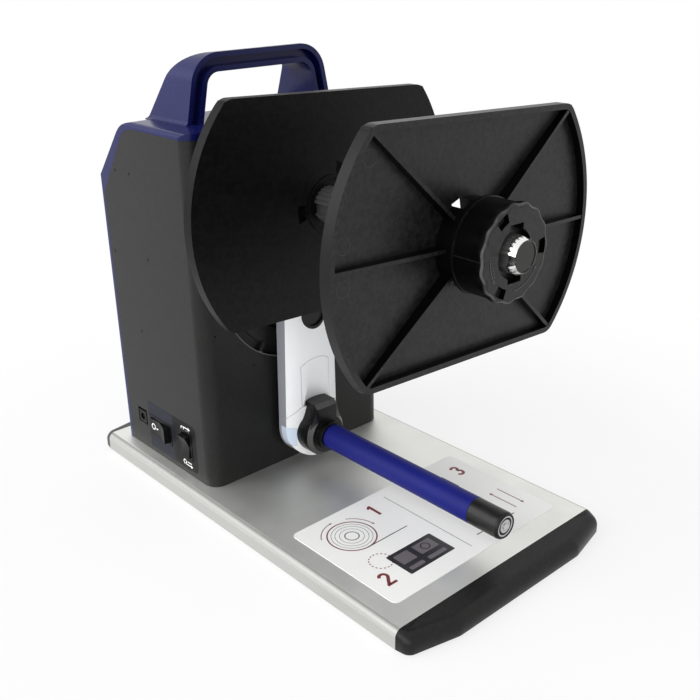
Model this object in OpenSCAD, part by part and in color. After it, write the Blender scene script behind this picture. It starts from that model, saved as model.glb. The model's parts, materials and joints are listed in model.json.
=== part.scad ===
// Label rewinder for a desk. A motor in an upright housing turns a spindle with two roll
// flanges, and a sprung arm with a roller under the spindle keeps the label web tight.
// The front, where the spindle ends, looks toward -Y. Sizes are in millimetres.

/* [Base] */
// Width of the base plate
base_w = 216.5; // [205:0.5:250]
// Length of the base plate between its end caps
base_l = 377; // [370:1:420]
// Thickness of the base plate
base_t = 16; // [14:0.5:20]
// How far each end cap projects past the plate
cap_l = 20.5; // [18:0.5:26]
// Height of the rubber feet under the plate
foot_h = 1.5; // [1:0.5:4]

/* [Housing] */
// Width of the housing
body_w = 188.7; // [182:0.1:196]
// Depth of the housing
body_d = 134.4; // [130:0.1:140]
// Height of the front cover above the base plate
body_h = 286; // [284:1:296]
// Wall thickness of the covers
wall = 3; // [2.4:0.1:3.6]
// Radius of the upright front edges
edge_r = 12; // [9:0.5:16]

/* [Handle] */
// Height of the carry handle above the housing's lid
handle_h = 50.7; // [46:0.1:58]
// Width of the straight top of the handle
handle_w = 80; // [70:1:90]
// Thickness of the handle's arch
handle_t = 14.3; // [12:0.1:16]

/* [Spindle and flanges] */
// Height of the spindle axis above the base plate
spindle_h = 232.5; // [231:0.5:238]
// Diameter of the spindle
spindle_d = 25.4; // [25:0.1:26]
// Diameter of the flanges
flange_d = 250; // [230:1:256]
// Distance across the flats of the flanges
flange_flat = 166.6; // [150:0.1:176]
// Width of the roll that fits between the flanges
roll_w = 133.4; // [110:0.1:138]
// Lean of the flanges' flats where the spindle has stopped
flange_lean = 2.7; // [-10:0.1:10]
// Diameter of the lock knob
knob_d = 66.6; // [66:0.1:72]

/* [Tension arm] */
// Height of the arm's pivot above the base plate
pivot_h = 169; // [167:0.5:170]
// Height of the roller's axis above the base plate
roller_h = 32; // [30:0.5:36]
// Diameter of the roller
roller_d = 21; // [20:0.5:24]
// Length of the roller's sleeve
sleeve_l = 158; // [130:1:162]
// Swing of the arm to each side
arm_swing = 28; // [15:1:30]

/* [Hidden] */
$fn = 64;
// Gap between pieces that move past each other, between fixed pieces, and in a running fit
free_gap = 0.3;
slack = 0.15;
run_gap = 0.05;
// Overlap that makes a cut go right through, and a step too small to see
cut = 1;
hair = 0.02;

// Base plate and its feet
deck = foot_h + base_t;
plate_wall = 3;
plate_side = 5;
plate_web = 4;
plate_edge_r = 6;
chamber_n = 3;
chamber_w = (base_w - 2 * plate_side - (chamber_n - 1) * plate_web) / chamber_n;
chamber_h = base_t - 2 * plate_wall;
foot_d = 18;
foot_recess = 1.2;
foot_inset_x = 20;
foot_inset_y = 24;
plug_l = 12;
cap_corner_r = 7.5;
cap_corner_in = 1.7;
cap_corner_out = 11;
cap_nose_r = 10;
cap_nose_w = base_w / 2 - 42;
cap_nose_h = base_t - 4;
cap_side = 0.2;

// Housing
rear_margin = 15.9;
body_rear = base_l / 2 - rear_margin;
body_front = body_rear - body_d;
rear_strip = 5.2;
seam_y = body_rear - rear_strip;
lid_t = 4.8;
lid_h = body_h + lid_t;
lid_edge_r = 4;
rear_r = 2;
chamfer_d = 41;
chamfer_h = 57.6;
chamfer_r = 25;
back_d = 43.8;
back_h = 49.7;
back_r = 30;

// Carry handle: an arch seen from the front, with a back that leans
handle_front = body_front + 32.4;
handle_lean = 11.8;
handle_round = 25;
handle_flat = 1;
handle_back_r = 42;
handle_back_lean = 31;
handle_foot_r = 3.5;
grip_rim = 4;
grip_groove = 7;
handle_reach = handle_w / 2 + handle_round * cos(handle_lean)
    + (handle_h - handle_round * (1 - sin(handle_lean))) * tan(handle_lean);

// Round well in the front cover that the arm's hub turns in
well_r = 72.5;
well_depth = 5;
land_r = 64.5;
land_in_r = 50;
land_drop = 2.5;
hub_r = 44;
hub_t = 2.6;
floor_y = body_front + well_depth + wall;
spindle_hole_r = 17;

// Sheet frame inside the housing
sheet = 3;
chassis_y = floor_y + 6.5;
chassis_w = 144;
chassis_h = spindle_h + 47.5;
chassis_foot = 48;
gusset_h = 90;
standoff_l = 30;
standoff_d = 10;
gear_plate_y = chassis_y + sheet + standoff_l;
gear_plate_back = gear_plate_y + sheet;
gear_plate_w = 140;
gear_plate_drop = 93;
gear_plate_low = spindle_h - gear_plate_drop;
standoff_x = 62;
standoff_drop = 85;
standoff_rise = 40;
standoff_at = [for (x = [-1, 1], z = [-standoff_drop, standoff_rise]) [x * standoff_x, spindle_h + z]];
cover_post_x = 61;
cover_post_h = [20, 120];
cover_post_at = [for (x = [-1, 1], z = cover_post_h) [x * cover_post_x, z]];

// Spindle drive
shaft_r = 6;
bearing_r = 16;
bearing_w = 10;
housing_boss_r = 20;
housing_flange_r = 28;
housing_flange_t = 4;
housing_boss_l = 8;
tooth_m = 1.5;
gear_teeth = 60;
pinion_teeth = 20;
gear_w = 10;
gear_y = chassis_y + sheet + 9;
mesh_angle = -40;
mesh_distance = tooth_m * (gear_teeth + pinion_teeth) / 2;
motor_x = mesh_distance * cos(mesh_angle);
motor_h = spindle_h + mesh_distance * sin(mesh_angle);
motor_r = 18;
gearbox_r = 18.5;
gearbox_l = 22;
motor_end = body_rear - wall - 8;
motor_shaft_r = 3;

// Spindle and flanges
axis_z = deck + spindle_h;
core_r = spindle_d / 2;
flange_face = body_front - 46.7;
flange_front = flange_face - roll_w;
flange_t = 3;
rim_w = 4;
rim_h = 8.8;
flange_corner_r = 11.8;
rib_t = 2.6;
inner_rib_h = 13.4;
outer_rib_h = 12;
collar_l = 19;
flange_hub_r = 23;
rib_angle = atan2(flange_flat / 2 - rim_w, sqrt(pow(flange_d / 2, 2) - pow(flange_flat / 2, 2)));
rib_angles = [0, rib_angle, 180 - rib_angle, 180, 180 + rib_angle, -rib_angle];
collar_r = 30.5;
collar_end = flange_front - collar_l;
knob_back = collar_end - free_gap;
knob_l = 24.4;
knob_front = knob_back - knob_l;
knob_rim_l = 7;
knob_body_r = knob_d / 2 - 0.7;
knob_hole_r = 16.5;
knob_notch_r = 19.3;
knob_notch_w = 13;
knob_tube_r = 21;
knob_lobes = 10;
lobe_r = 10;
lobe_depth = 1.7;
pocket = [7.5, 9, 4];
pocket_in = 9.3;
snap_r = 22.5;
snap_t = 2;
snap_y = knob_front + 12;
pocket_angles = [0, 120, 240];
tip_face = knob_front - 8;
tip_l = 6;
tip_cone = 4;
core_end = tip_face + tip_l;
tip_chamfer = 2;
root_r = core_r + 1.5;
root_l = 16.5;
flute_n = 24;
flute_r = 0.7;
key_angles = [67, 187, 307];
key_r = 4.2;
key_out = 1;
hub_disc_r = 24;
hub_disc_t = 6;
hub_neck_r = 14;
hub_screw_r = 18;
hub_recess_r = 20.4;
hub_recess = 3;
hub_groove_r = 22.4;
hub_groove = 0.8;
window_in = 23.8;
window_out = 32;
window_half = 12.5;
root_window_in = 19.5;
root_window_out = collar_r + 0.8;
root_window_half = 10;
root_window_l = 12.5;
collar_lip_r = 33;
collar_lip_l = 2.5;

// Tension arm
pivot_z = deck + pivot_h;
roller_z = deck + roller_h;
arm_rear = body_front - 5.3;
arm_edge_t = 9.5;
arm_top_r = 25;
arm_foot_r = 28;
arm_foot_h = roller_h + 4;
crown_rise = 8.8;
crown_r = (pow(arm_foot_r, 2) + pow(crown_rise, 2)) / (2 * crown_rise);
crown_y = arm_rear - arm_edge_t - crown_rise;
arm_wall = 2.5;
arm_plate_t = 3;
arm_seam = 0.3;
arch_w = 15;
arch_low = arm_foot_h + 21;
arch_top = arm_foot_h + 63;
arch_r = 23;
arch_shoulder = arm_foot_h + 12;
cap_h = pivot_h - 31.5;
cap_r = 12.7;
tab_t = 1.5;
arm_neck_r = 20;
shaft_collar_r = 14;
shaft_collar_l = 4;
sensor_r = 10;
sensor_l = 12;
sensor_grip = 6;
sensor_lug = [12, 4, 12];
sensor_lug_drop = 16;
scoop_r = 26;
scoop_top = roller_h + 57;
scoop_tilt = 10;
scoop_l = 36;
spring_r = 12;
spring_wire = 0.9;
spring_turns = 6;
spring_pitch = 2.6;
spring_start = chassis_y + sheet + spring_wire;
spring_end = spring_start + spring_turns * spring_pitch + spring_wire;
stop_pin_r = 3.5;
stop_pin_at = (well_r + land_r) / 2;
stop_rib_t = 3;
stop_angle = arm_swing + asin((stop_pin_r + stop_rib_t / 2 + free_gap) / stop_pin_at);

// Roller and its mount
mount_front = crown_y - 12.3;
mount_back = crown_y + 5.5;
mount_r = 20;
mount_edge = 3.5;
mount_collar_r = 13;
mount_collar_l = 6;
trunk_h = 29;
trunk_top_w = 10.5;
trunk_low_w = 17.5;
waist_r = 44.5;
waist_at = [54.8, 33.3];
roller_shaft_r = 4;
sleeve_back = mount_front - mount_collar_l - free_gap;
sleeve_front = sleeve_back - sleeve_l;
roller_end_l = 28.4;
roller_end = sleeve_front - roller_end_l;
roller_bearing_r = 8;
roller_bearing_w = 5;
race_out_r = 6.8;
race_in_r = 5.2;
roller_bearing_at = [sleeve_back - 0.5, roller_end + 0.4 + roller_bearing_w];

// Switches and inlet on the left wall
left_x = -body_w / 2;
panel_y = body_front + 21.8;
panel_l = 74;
panel_low = 5;
panel_hgt = 44;
panel_t = 1;
power_y = body_front + 77.4;
power_h = 26.8;
power_size = [29, 14];
direction_y = body_front + 37.3;
direction_h = 28;
direction_size = [21, 11];
rocker_depth = 5;
rocker_ridge = 3.4;
rocker_dip = 0.8;
rocker_tilt = 8;
rocker_pin_r = 1.5;
rocker_pin_in = 2;
frame_wall = 1.8;
frame_depth = 12;
frame_lip = 0.4;
jack_y = seam_y - 21.4;
jack_h = 29;
jack_w = 12;
jack_l = 14;
jack_sunk = 0.4;
jack_gap = 2.2;
jack_hole_r = 3.1;
jack_pin_r = 1;

// Circuit board
board_w = 120;
board_d = 46;
board_t = 1.6;
board_lift = 10;
board_y = seam_y - board_d - 6;

// Screws
screw_r = 1.65;
screw_head_r = 3.5;
screw_head_h = 2.2;
cover_screw_l = 24;
cover_screw_low = 12;
cover_screw_drop = 86;
cover_screw_at = [
    for (x = [-1, 1], z = [cover_screw_low, body_h - cover_screw_drop]) [x * (body_w / 2 - wall - 4), z]
];
post_screw_grip = 8;
base_screw_at = [for (x = [-50, 0, 50]) [x, chassis_y + 34]];
hub_screw_angles = [30, 150, 270];
housing_screw_at = [for (a = [45 : 90 : 315]) 24 * [cos(a), sin(a)]];

// Label on the base plate
label_w = 178;
label_l = 113;
label_y = 75.5 - base_l / 2;
label_t = 0.3;
label_r = 5;

// Colours
navy = [0.12, 0.11, 0.36];
black = [0.09, 0.09, 0.09];
dark = [0.2, 0.2, 0.2];
silver = [0.78, 0.79, 0.8];
steel = [0.6, 0.61, 0.63];
pale = [0.9, 0.9, 0.92];
blue = [0.16, 0.18, 0.62];
green = [0.1, 0.35, 0.2];
bronze = [0.65, 0.5, 0.25];

// Extrude a drawing along one axis. The drawing's own axes stay level and upright.
module span_x(x0, x1) {
    translate([x0, 0, 0]) rotate([90, 0, 90]) linear_extrude(x1 - x0) children();
}

module span_y(y0, y1) {
    translate([0, y1, 0]) rotate([90, 0, 0]) linear_extrude(y1 - y0) children();
}

module span_z(z0, z1) {
    translate([0, 0, z0]) linear_extrude(z1 - z0) children();
}

// Round bar along Y at a place given in X and Z
module bar_y(r, y0, y1, at = [0, 0]) {
    translate([at[0], y1, at[1]]) rotate([90, 0, 0]) cylinder(r = r, h = y1 - y0);
}

module bar_x(r, x0, x1, at = [0, 0]) {
    translate([x0, at[0], at[1]]) rotate([0, 90, 0]) cylinder(r = r, h = x1 - x0);
}

module ring_y(r_out, r_in, y0, y1, at = [0, 0]) {
    difference() {
        bar_y(r_out, y0, y1, at);
        bar_y(r_in, y0 - cut, y1 + cut, at);
    }
}

module both_sides() {
    children();
    mirror([1, 0, 0]) children();
}

module both_sides_2d() {
    children();
    mirror([1, 0]) children();
}

module at_deck() {
    translate([0, 0, deck]) children();
}

module on_spindle() {
    translate([0, 0, axis_z]) rotate([0, flange_lean, 0]) children();
}

// Tangent lengths and centres for a corner [x, y, radius] between its two neighbours
function xy(p) = [p[0], p[1]];
function unit(v) = v / norm(v);
function toward(list, i, step) = unit(xy(list[(i + step + len(list)) % len(list)]) - xy(list[i]));
function half_angle(list, i) = acos(toward(list, i, -1) * toward(list, i, 1)) / 2;
function tangent(list, i, step) =
    xy(list[i]) + toward(list, i, step) * list[i][2] / tan(half_angle(list, i));
function centre(list, i) =
    xy(list[i]) + unit(toward(list, i, -1) + toward(list, i, 1)) * list[i][2] / sin(half_angle(list, i));

// Convex outline whose corners are [x, y, radius]
module soft_polygon(list) {
    last = len(list) - 1;
    polygon([for (i = [0 : last]) each
        list[i][2] > 0 ? [tangent(list, i, -1), tangent(list, i, 1)] : [xy(list[i])]]);
    for (i = [0 : last]) {
        if (list[i][2] > 0) translate(centre(list, i)) circle(r = list[i][2]);
    }
}

module soft_rect(x0, y0, x1, y1, r) {
    soft_polygon([[x0, y0, r], [x1, y0, r], [x1, y1, r], [x0, y1, r]]);
}

// Screw with a round head along Y, the head's outer face toward way
module screw_y(at, y, l, way = 1) {
    bar_y(screw_r, min(y, y - way * l), max(y, y - way * l), at);
    bar_y(screw_head_r, min(y, y + way * screw_head_h), max(y, y + way * screw_head_h), at);
}

// Base

module plate_profile() {
    difference() {
        soft_polygon([
            [-base_w / 2, 0, 1], [base_w / 2, 0, 1],
            [base_w / 2, base_t, plate_edge_r], [-base_w / 2, base_t, plate_edge_r]
        ]);
        chambers(0);
    }
}

module chambers(inset) {
    for (i = [0 : chamber_n - 1]) {
        translate([-base_w / 2 + plate_side + i * (chamber_w + plate_web) + inset, plate_wall + inset])
            square([chamber_w - 2 * inset, chamber_h - 2 * inset]);
    }
}

module feet_places() {
    for (x = [-1, 1], y = [-1, 1]) {
        translate([x * (base_w / 2 - foot_inset_x), y * (base_l / 2 - foot_inset_y), 0]) children();
    }
}

module base_plate() {
    color(silver) difference() {
        translate([0, 0, foot_h]) span_y(-base_l / 2, base_l / 2) plate_profile();
        feet_places() cylinder(d = foot_d + 2 * slack, h = foot_h + foot_recess);
        for (p = base_screw_at) {
            translate([p[0], p[1], deck - plate_wall - cut])
                cylinder(r = screw_r + run_gap, h = plate_wall + 2 * cut);
        }
    }
}

// Plan of an end cap: sides that run in a little, round corners and a blunt nose
module cap_plan() {
    x = base_w / 2;
    soft_polygon([
        [x + cap_side, cut, 0], [-x - cap_side, cut, 0],
        [cap_corner_in - x, -cap_corner_out, cap_corner_r], [-cap_nose_w, -cap_l, cap_nose_r],
        [cap_nose_w, -cap_l, cap_nose_r], [x - cap_corner_in, -cap_corner_out, cap_corner_r]
    ]);
}

// End cap whose top falls away to its nose, and plugs that fill the plate's chambers
module end_cap() {
    color(black) translate([0, -base_l / 2, foot_h]) {
        intersection() {
            span_z(-cut, base_t + cut) cap_plan();
            span_y(-cap_l - cut, 0) soft_polygon([
                [-base_w / 2, 0, 1], [base_w / 2, 0, 1],
                [base_w / 2, base_t, plate_edge_r], [-base_w / 2, base_t, plate_edge_r]
            ]);
            span_x(-base_w, base_w) polygon([
                [cut, -cut], [cut, base_t + cut], [0, base_t + cut], [-cap_l - cut, cap_nose_h],
                [-cap_l - cut, -cut]
            ]);
        }
        span_y(-cut, plug_l) chambers(slack);
    }
}

module front_end_cap() {
    end_cap();
}

module rear_end_cap() {
    mirror([0, 1, 0]) end_cap();
}

module rubber_feet() {
    color(dark) feet_places() cylinder(d = foot_d, h = foot_h + foot_recess);
}

module instruction_label() {
    color("white") translate([0, label_y, 0]) span_z(deck, deck + label_t)
        soft_rect(-label_w / 2, -label_l / 2, label_w / 2, label_l / 2, label_r);
}

// Housing

module cover_plan(inset) {
    x = body_w / 2 - inset;
    soft_polygon([
        [-x, body_front + inset, edge_r - inset], [x, body_front + inset, edge_r - inset],
        [x, body_rear - inset, rear_r - inset], [-x, body_rear - inset, rear_r - inset]
    ]);
}

// Plan of the hollow inside the front cover, which is open at the rear
module cover_inside() {
    x = body_w / 2 - wall;
    soft_polygon([
        [-x, body_front + wall, edge_r - wall], [x, body_front + wall, edge_r - wall],
        [x, body_rear + cut, 0], [-x, body_rear + cut, 0]
    ]);
}

// Side view of the space under the front cover's outline, grown by a gap
module front_side_view(gap) {
    soft_polygon([
        [body_front - gap, -gap, 0], [seam_y + gap, -gap, 0],
        [seam_y + gap, body_h - chamfer_h, 0], [seam_y - chamfer_d, body_h + gap, chamfer_r],
        [body_front - gap, body_h + gap, 0]
    ]);
}

// Side view of the rear cover's outer skin, drawn in by an inset and open below
module rear_side_view(inset, below) {
    soft_polygon([
        [body_front + inset, -below, 0], [body_rear - inset, -below, 0],
        [body_rear - inset, lid_h - back_h - inset / 2, 0],
        [body_rear - back_d - inset / 2, lid_h - inset, back_r - inset],
        [body_front + inset, lid_h - inset, 0]
    ]);
}

module well_steps() {
    bar_y(well_r, body_front - cut, body_front + land_drop, [0, pivot_z]);
    ring_y(well_r, land_r, body_front, body_front + well_depth, [0, pivot_z]);
    bar_y(land_in_r, body_front, body_front + well_depth, [0, pivot_z]);
}

module stop_ribs() {
    for (s = [-1, 1]) {
        translate([0, 0, pivot_z]) rotate([0, s * stop_angle, 0])
            translate([-stop_rib_t / 2, body_front + cut, -well_r - cut])
            cube([stop_rib_t, well_depth, well_r - land_r + 2 * cut]);
    }
}

module front_cover() {
    color(black) difference() {
        union() {
            difference() {
                intersection() {
                    span_z(deck, deck + body_h) cover_plan(0);
                    at_deck() span_x(-body_w / 2, body_w / 2) front_side_view(0);
                }
                span_z(deck - cut, deck + lid_h) cover_inside();
                well_steps();
            }
            well_floor();
            for (p = cover_post_at) bar_y(5, body_front + wall - cut, chassis_y, [p[0], deck + p[1]]);
            for (p = cover_screw_at) bar_y(4.5, seam_y - 30, seam_y, [p[0], deck + p[1]]);
        }
        bar_y(spindle_hole_r, body_front - cut, floor_y + cut, [0, axis_z]);
        bar_y(shaft_r + 2, body_front - cut, floor_y + cut, [0, pivot_z]);
        for (p = cover_post_at) {
            bar_y(screw_r, chassis_y - 9, chassis_y + cut, [p[0], deck + p[1]]);
        }
        for (p = cover_screw_at) {
            bar_y(screw_r + run_gap, seam_y - 25, seam_y + cut, [p[0], deck + p[1]]);
        }
        panel_recess();
        switch_hole(power_y, power_h, power_size, true);
        switch_hole(direction_y, direction_h, direction_size, false);
        jack_window(slack);
    }
}

// Floor of the stepped round well for the arm's hub, behind the front wall
module well_floor() {
    difference() {
        bar_y(well_r + wall, body_front + wall - cut, floor_y, [0, pivot_z]);
        well_steps();
    }
    stop_ribs();
}

module handle_outline(inset, foot) {
    r = handle_round - inset;
    top = lid_h + handle_h - handle_round;
    side = [handle_w / 2 + r * cos(handle_lean), top + r * sin(handle_lean)];
    low = side[0] + (side[1] - foot) * tan(handle_lean);
    polygon([
        [-low, foot], [low, foot], side, [handle_w / 2, top + r],
        [-handle_w / 2, top + r], [-side[0], side[1]]
    ]);
    for (s = [-1, 1]) translate([s * handle_w / 2, top]) circle(r = r);
}

// Side view of the handle: upright front, and a back that leans with the housing
module handle_side() {
    r = handle_back_r;
    top = lid_h + handle_h;
    middle = [handle_front + handle_flat, top - r];
    turn = middle + r * [cos(handle_back_lean), sin(handle_back_lean)];
    low = turn[0] + (turn[1] - lid_h + cut) * tan(handle_back_lean);
    polygon([
        [handle_front, lid_h - cut], [low, lid_h - cut], turn,
        [middle[0], top], [handle_front, top]
    ]);
    intersection() {
        translate(middle) circle(r = r);
        translate(middle) square(r + cut);
    }
}

// Hollow fillet where the arch's outer side runs out onto the lid
module handle_fillet() {
    r = handle_foot_r;
    middle = [handle_reach - r * tan(handle_lean) + r / cos(handle_lean), lid_h + r];
    high = middle - r * [cos(handle_lean), sin(handle_lean)];
    difference() {
        polygon([
            high - [cut, 0], high, [middle[0], lid_h], [middle[0], lid_h - cut],
            [handle_reach - cut, lid_h - cut]
        ]);
        translate(middle) circle(r = r);
    }
}

module handle() {
    difference() {
        intersection() {
            at_deck() span_y(body_front, body_rear) difference() {
                union() {
                    handle_outline(0, lid_h - cut);
                    both_sides_2d() handle_fillet();
                }
                handle_outline(handle_t, lid_h - 2 * cut);
            }
            at_deck() span_x(-body_w / 2, body_w / 2) handle_side();
        }
        at_deck() span_y(handle_front - cut, handle_front + grip_groove) difference() {
            handle_outline(grip_rim, lid_h);
            handle_outline(handle_t - grip_rim, lid_h - cut);
        }
    }
}

module rear_cover() {
    color(navy) {
        difference() {
            union() {
                difference() {
                    intersection() {
                        at_deck() span_x(-body_w / 2, body_w / 2) rear_side_view(0, 0);
                        span_z(deck, deck + lid_h) cover_plan(0);
                        at_deck() span_y(body_front - cut, body_rear + cut) soft_polygon([
                            [-body_w / 2, 0, 0], [body_w / 2, 0, 0],
                            [body_w / 2, lid_h, lid_edge_r], [-body_w / 2, lid_h, lid_edge_r]
                        ]);
                    }
                    at_deck() span_x(wall - body_w / 2, body_w / 2 - wall) rear_side_view(wall, cut);
                }
                for (p = cover_screw_at) {
                    bar_y(4.5, seam_y + slack, body_rear - wall + cut, [p[0], deck + p[1]]);
                }
                handle();
            }
            at_deck() span_x(-body_w / 2 - cut, body_w / 2 + cut) front_side_view(slack / 2);
            for (p = cover_screw_at) {
                bar_y(screw_r + run_gap, seam_y - cut, body_rear + cut, [p[0], deck + p[1]]);
            }
        }
    }
}

module cover_screws() {
    color(steel) for (p = cover_screw_at) screw_y([p[0], deck + p[1]], body_rear, cover_screw_l);
}

module base_screws() {
    color(steel) for (p = base_screw_at) {
        translate([p[0], p[1], deck - plate_wall]) cylinder(r = screw_r, h = plate_wall + sheet);
        translate([p[0], p[1], deck + sheet]) cylinder(r = screw_head_r, h = screw_head_h);
    }
}

module cover_post_screws() {
    color(steel) for (p = cover_post_at) {
        screw_y([p[0], deck + p[1]], chassis_y + sheet, sheet + post_screw_grip);
    }
}

// Switch panel on the left wall

module panel_outline(inset) {
    front = panel_y + inset;
    rear = panel_y + panel_l - inset;
    low = panel_low + inset;
    high = panel_low + panel_hgt - inset;
    soft_polygon([[front, low, 5], [rear, low, 1], [rear, high, 1], [front, high, 5]]);
}

module panel_recess() {
    at_deck() span_x(left_x - cut, left_x + panel_t) panel_outline(0);
}

// Rectangle of a switch on the left wall. A level switch is long along Y, an upright one along Z.
module switch_rect(y, h, size, level, grow) {
    a = (level ? size[0] : size[1]) / 2 + grow;
    b = (level ? size[1] : size[0]) / 2 + grow;
    translate([y - a, h - b]) square([2 * a, 2 * b]);
}

module switch_hole(y, h, size, level) {
    at_deck() span_x(left_x - cut, left_x + wall + cut)
        switch_rect(y, h, size, level, free_gap + frame_wall + slack);
}

module switch_panel() {
    color(dark) at_deck() span_x(left_x, left_x + panel_t) difference() {
        panel_outline(slack);
        switch_rect(power_y, power_h, power_size, true, free_gap + frame_wall + slack);
        switch_rect(direction_y, direction_h, direction_size, false, free_gap + frame_wall + slack);
    }
}

// Open box that carries a rocker, with a lip on the panel and holes for the rocker's pins
module switch_frame(y, h, size, level) {
    color(black) difference() {
        union() {
            at_deck() span_x(left_x - frame_lip, left_x + frame_depth)
                switch_rect(y, h, size, level, free_gap + frame_wall);
            at_deck() span_x(left_x - frame_lip, left_x)
                switch_rect(y, h, size, level, free_gap + frame_wall + 1);
        }
        at_deck() span_x(left_x - frame_lip - cut, left_x + frame_depth - frame_wall)
            switch_rect(y, h, size, level, free_gap + 0.2);
        rocker_pin(y, h, size, level, rocker_pin_r + run_gap, frame_wall + 2 * cut);
    }
}

module rocker_pin(y, h, size, level, r, past) {
    l = size[1] / 2 + free_gap + past;
    translate([left_x + rocker_pin_in, y, deck + h]) rotate([level ? 0 : 90, 0, 0])
        translate([0, 0, -l]) cylinder(r = r, h = 2 * l);
}

// Rocker with a hollow face, resting with its front or upper half out
module rocker(y, h, size, level, way) {
    a = size[0] / 2 - 0.4;
    color(black) {
        translate([left_x, y, deck + h]) rotate([level ? 0 : 90, 0, 0]) rotate([0, 0, 90])
            translate([0, -rocker_pin_in]) rotate(way * rocker_tilt) translate([0, rocker_pin_in])
            translate([0, 0, -size[1] / 2]) linear_extrude(size[1])
            polygon([
                [-a, -rocker_depth], [a, -rocker_depth],
                [a, rocker_ridge], [0, rocker_dip], [-a, rocker_ridge]
            ]);
        rocker_pin(y, h, size, level, rocker_pin_r, frame_wall - 0.6);
    }
}

module power_switch_frame() {
    switch_frame(power_y, power_h, power_size, true);
}

module power_rocker() {
    rocker(power_y, power_h, power_size, true, -1);
}

module direction_switch_frame() {
    switch_frame(direction_y, direction_h, direction_size, false);
}

module direction_rocker() {
    rocker(direction_y, direction_h, direction_size, false, 1);
}

module jack_window(grow) {
    at_deck() span_x(left_x - cut, left_x + wall + cut)
        translate([jack_y - jack_w / 2 - grow - jack_gap, jack_h - jack_w / 2 - grow])
        square(jack_w + 2 * grow + jack_gap);
}

module dc_jack() {
    at = [jack_y, deck + jack_h];
    color(dark) difference() {
        union() {
            at_deck() span_x(left_x + jack_sunk, left_x + jack_l)
                translate([jack_y - jack_w / 2, jack_h - jack_w / 2]) square(jack_w);
            at_deck() span_x(left_x + wall, left_x + wall + 2)
                translate([jack_y - jack_w / 2 - 2, jack_h - jack_w / 2 - 2]) square(jack_w + 4);
        }
        bar_x(jack_hole_r, left_x, left_x + jack_l - 3, at);
    }
    color(steel) bar_x(jack_pin_r, left_x + jack_sunk + 1, left_x + jack_l - 2, at);
}

// Circuit board

board_posts = [for (x = [-1, 1], y = [5, board_d - 5]) [x * (board_w / 2 - 5), board_y + y]];

module circuit_board() {
    color(green) difference() {
        translate([-board_w / 2, board_y, deck + board_lift]) cube([board_w, board_d, board_t]);
        for (p = board_posts) {
            translate([p[0], p[1], deck + board_lift - cut]) cylinder(r = 1.6, h = board_t + 2 * cut);
        }
    }
}

module board_components() {
    top = deck + board_lift + board_t;
    color(dark) {
        translate([-44, board_y + 10, top]) cube([14, 14, 3]);
        translate([-12, board_y + 8, top]) cube([30, 8, 20]);
        for (x = [30, 44]) translate([x, board_y + 30, top]) cylinder(r = 5, h = 16);
        translate([-40, board_y + 33, top]) cube([22, 8, 9]);
    }
}

module board_standoffs() {
    color(steel) for (p = board_posts) {
        translate([p[0], p[1], deck]) cylinder(r = 3, h = board_lift);
        translate([p[0], p[1], deck + board_lift]) cylinder(r = 1.5, h = board_t);
        translate([p[0], p[1], deck + board_lift + board_t]) cylinder(r = 2.6, h = 1.4);
    }
}

// Sheet frame

module chassis() {
    color(steel) difference() {
        union() {
            translate([-chassis_w / 2, chassis_y, deck]) cube([chassis_w, sheet, chassis_h]);
            translate([-chassis_w / 2, chassis_y, deck]) cube([chassis_w, chassis_foot, sheet]);
            both_sides() at_deck() span_x(chassis_w / 2 - sheet, chassis_w / 2) polygon([
                [chassis_y, 0], [chassis_y + chassis_foot, 0], [chassis_y + sheet, gusset_h],
                [chassis_y, gusset_h]
            ]);
        }
        bar_y(housing_boss_r + slack, chassis_y - cut, chassis_y + sheet + cut, [0, axis_z]);
        bar_y(10 + slack, chassis_y - cut, chassis_y + sheet + cut, [0, pivot_z]);
        for (p = standoff_at) bar_y(screw_r, chassis_y - cut, chassis_y + sheet + cut, [p[0], deck + p[1]]);
        for (p = cover_post_at) {
            bar_y(screw_r + run_gap, chassis_y - cut, chassis_y + sheet + cut, [p[0], deck + p[1]]);
        }
        for (p = housing_screw_at) {
            bar_y(screw_r, chassis_y - cut, chassis_y + sheet + cut, [p[0], axis_z + p[1]]);
        }
        for (p = base_screw_at) {
            translate([p[0], p[1], deck - cut]) cylinder(r = screw_r + run_gap, h = sheet + 2 * cut);
        }
    }
}

module gear_plate() {
    color(steel) difference() {
        at_deck() span_y(gear_plate_y, gear_plate_back)
            soft_rect(-gear_plate_w / 2, gear_plate_low, gear_plate_w / 2, spindle_h + 48, 6);
        bar_y(housing_boss_r + slack, gear_plate_y - cut, gear_plate_back + cut, [0, axis_z]);
        bar_y(shaft_r + 1, gear_plate_y - cut, gear_plate_back + cut, [0, pivot_z]);
        bar_y(motor_shaft_r + 3, gear_plate_y - cut, gear_plate_back + cut, [motor_x, deck + motor_h]);
        for (p = standoff_at) {
            bar_y(screw_r + run_gap, gear_plate_y - cut, gear_plate_back + cut, [p[0], deck + p[1]]);
        }
        for (p = housing_screw_at) {
            bar_y(screw_r, gear_plate_y - cut, gear_plate_back + cut, [p[0], axis_z + p[1]]);
        }
    }
}

module plate_standoffs() {
    color(silver) for (p = standoff_at) {
        ring_y(standoff_d / 2, screw_r, chassis_y + sheet, gear_plate_y, [p[0], deck + p[1]]);
    }
}

module plate_screws() {
    color(steel) for (p = standoff_at) {
        screw_y([p[0], deck + p[1]], gear_plate_back, sheet + post_screw_grip);
        screw_y([p[0], deck + p[1]], chassis_y, sheet + post_screw_grip, -1);
    }
}

// Spindle drive

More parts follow.
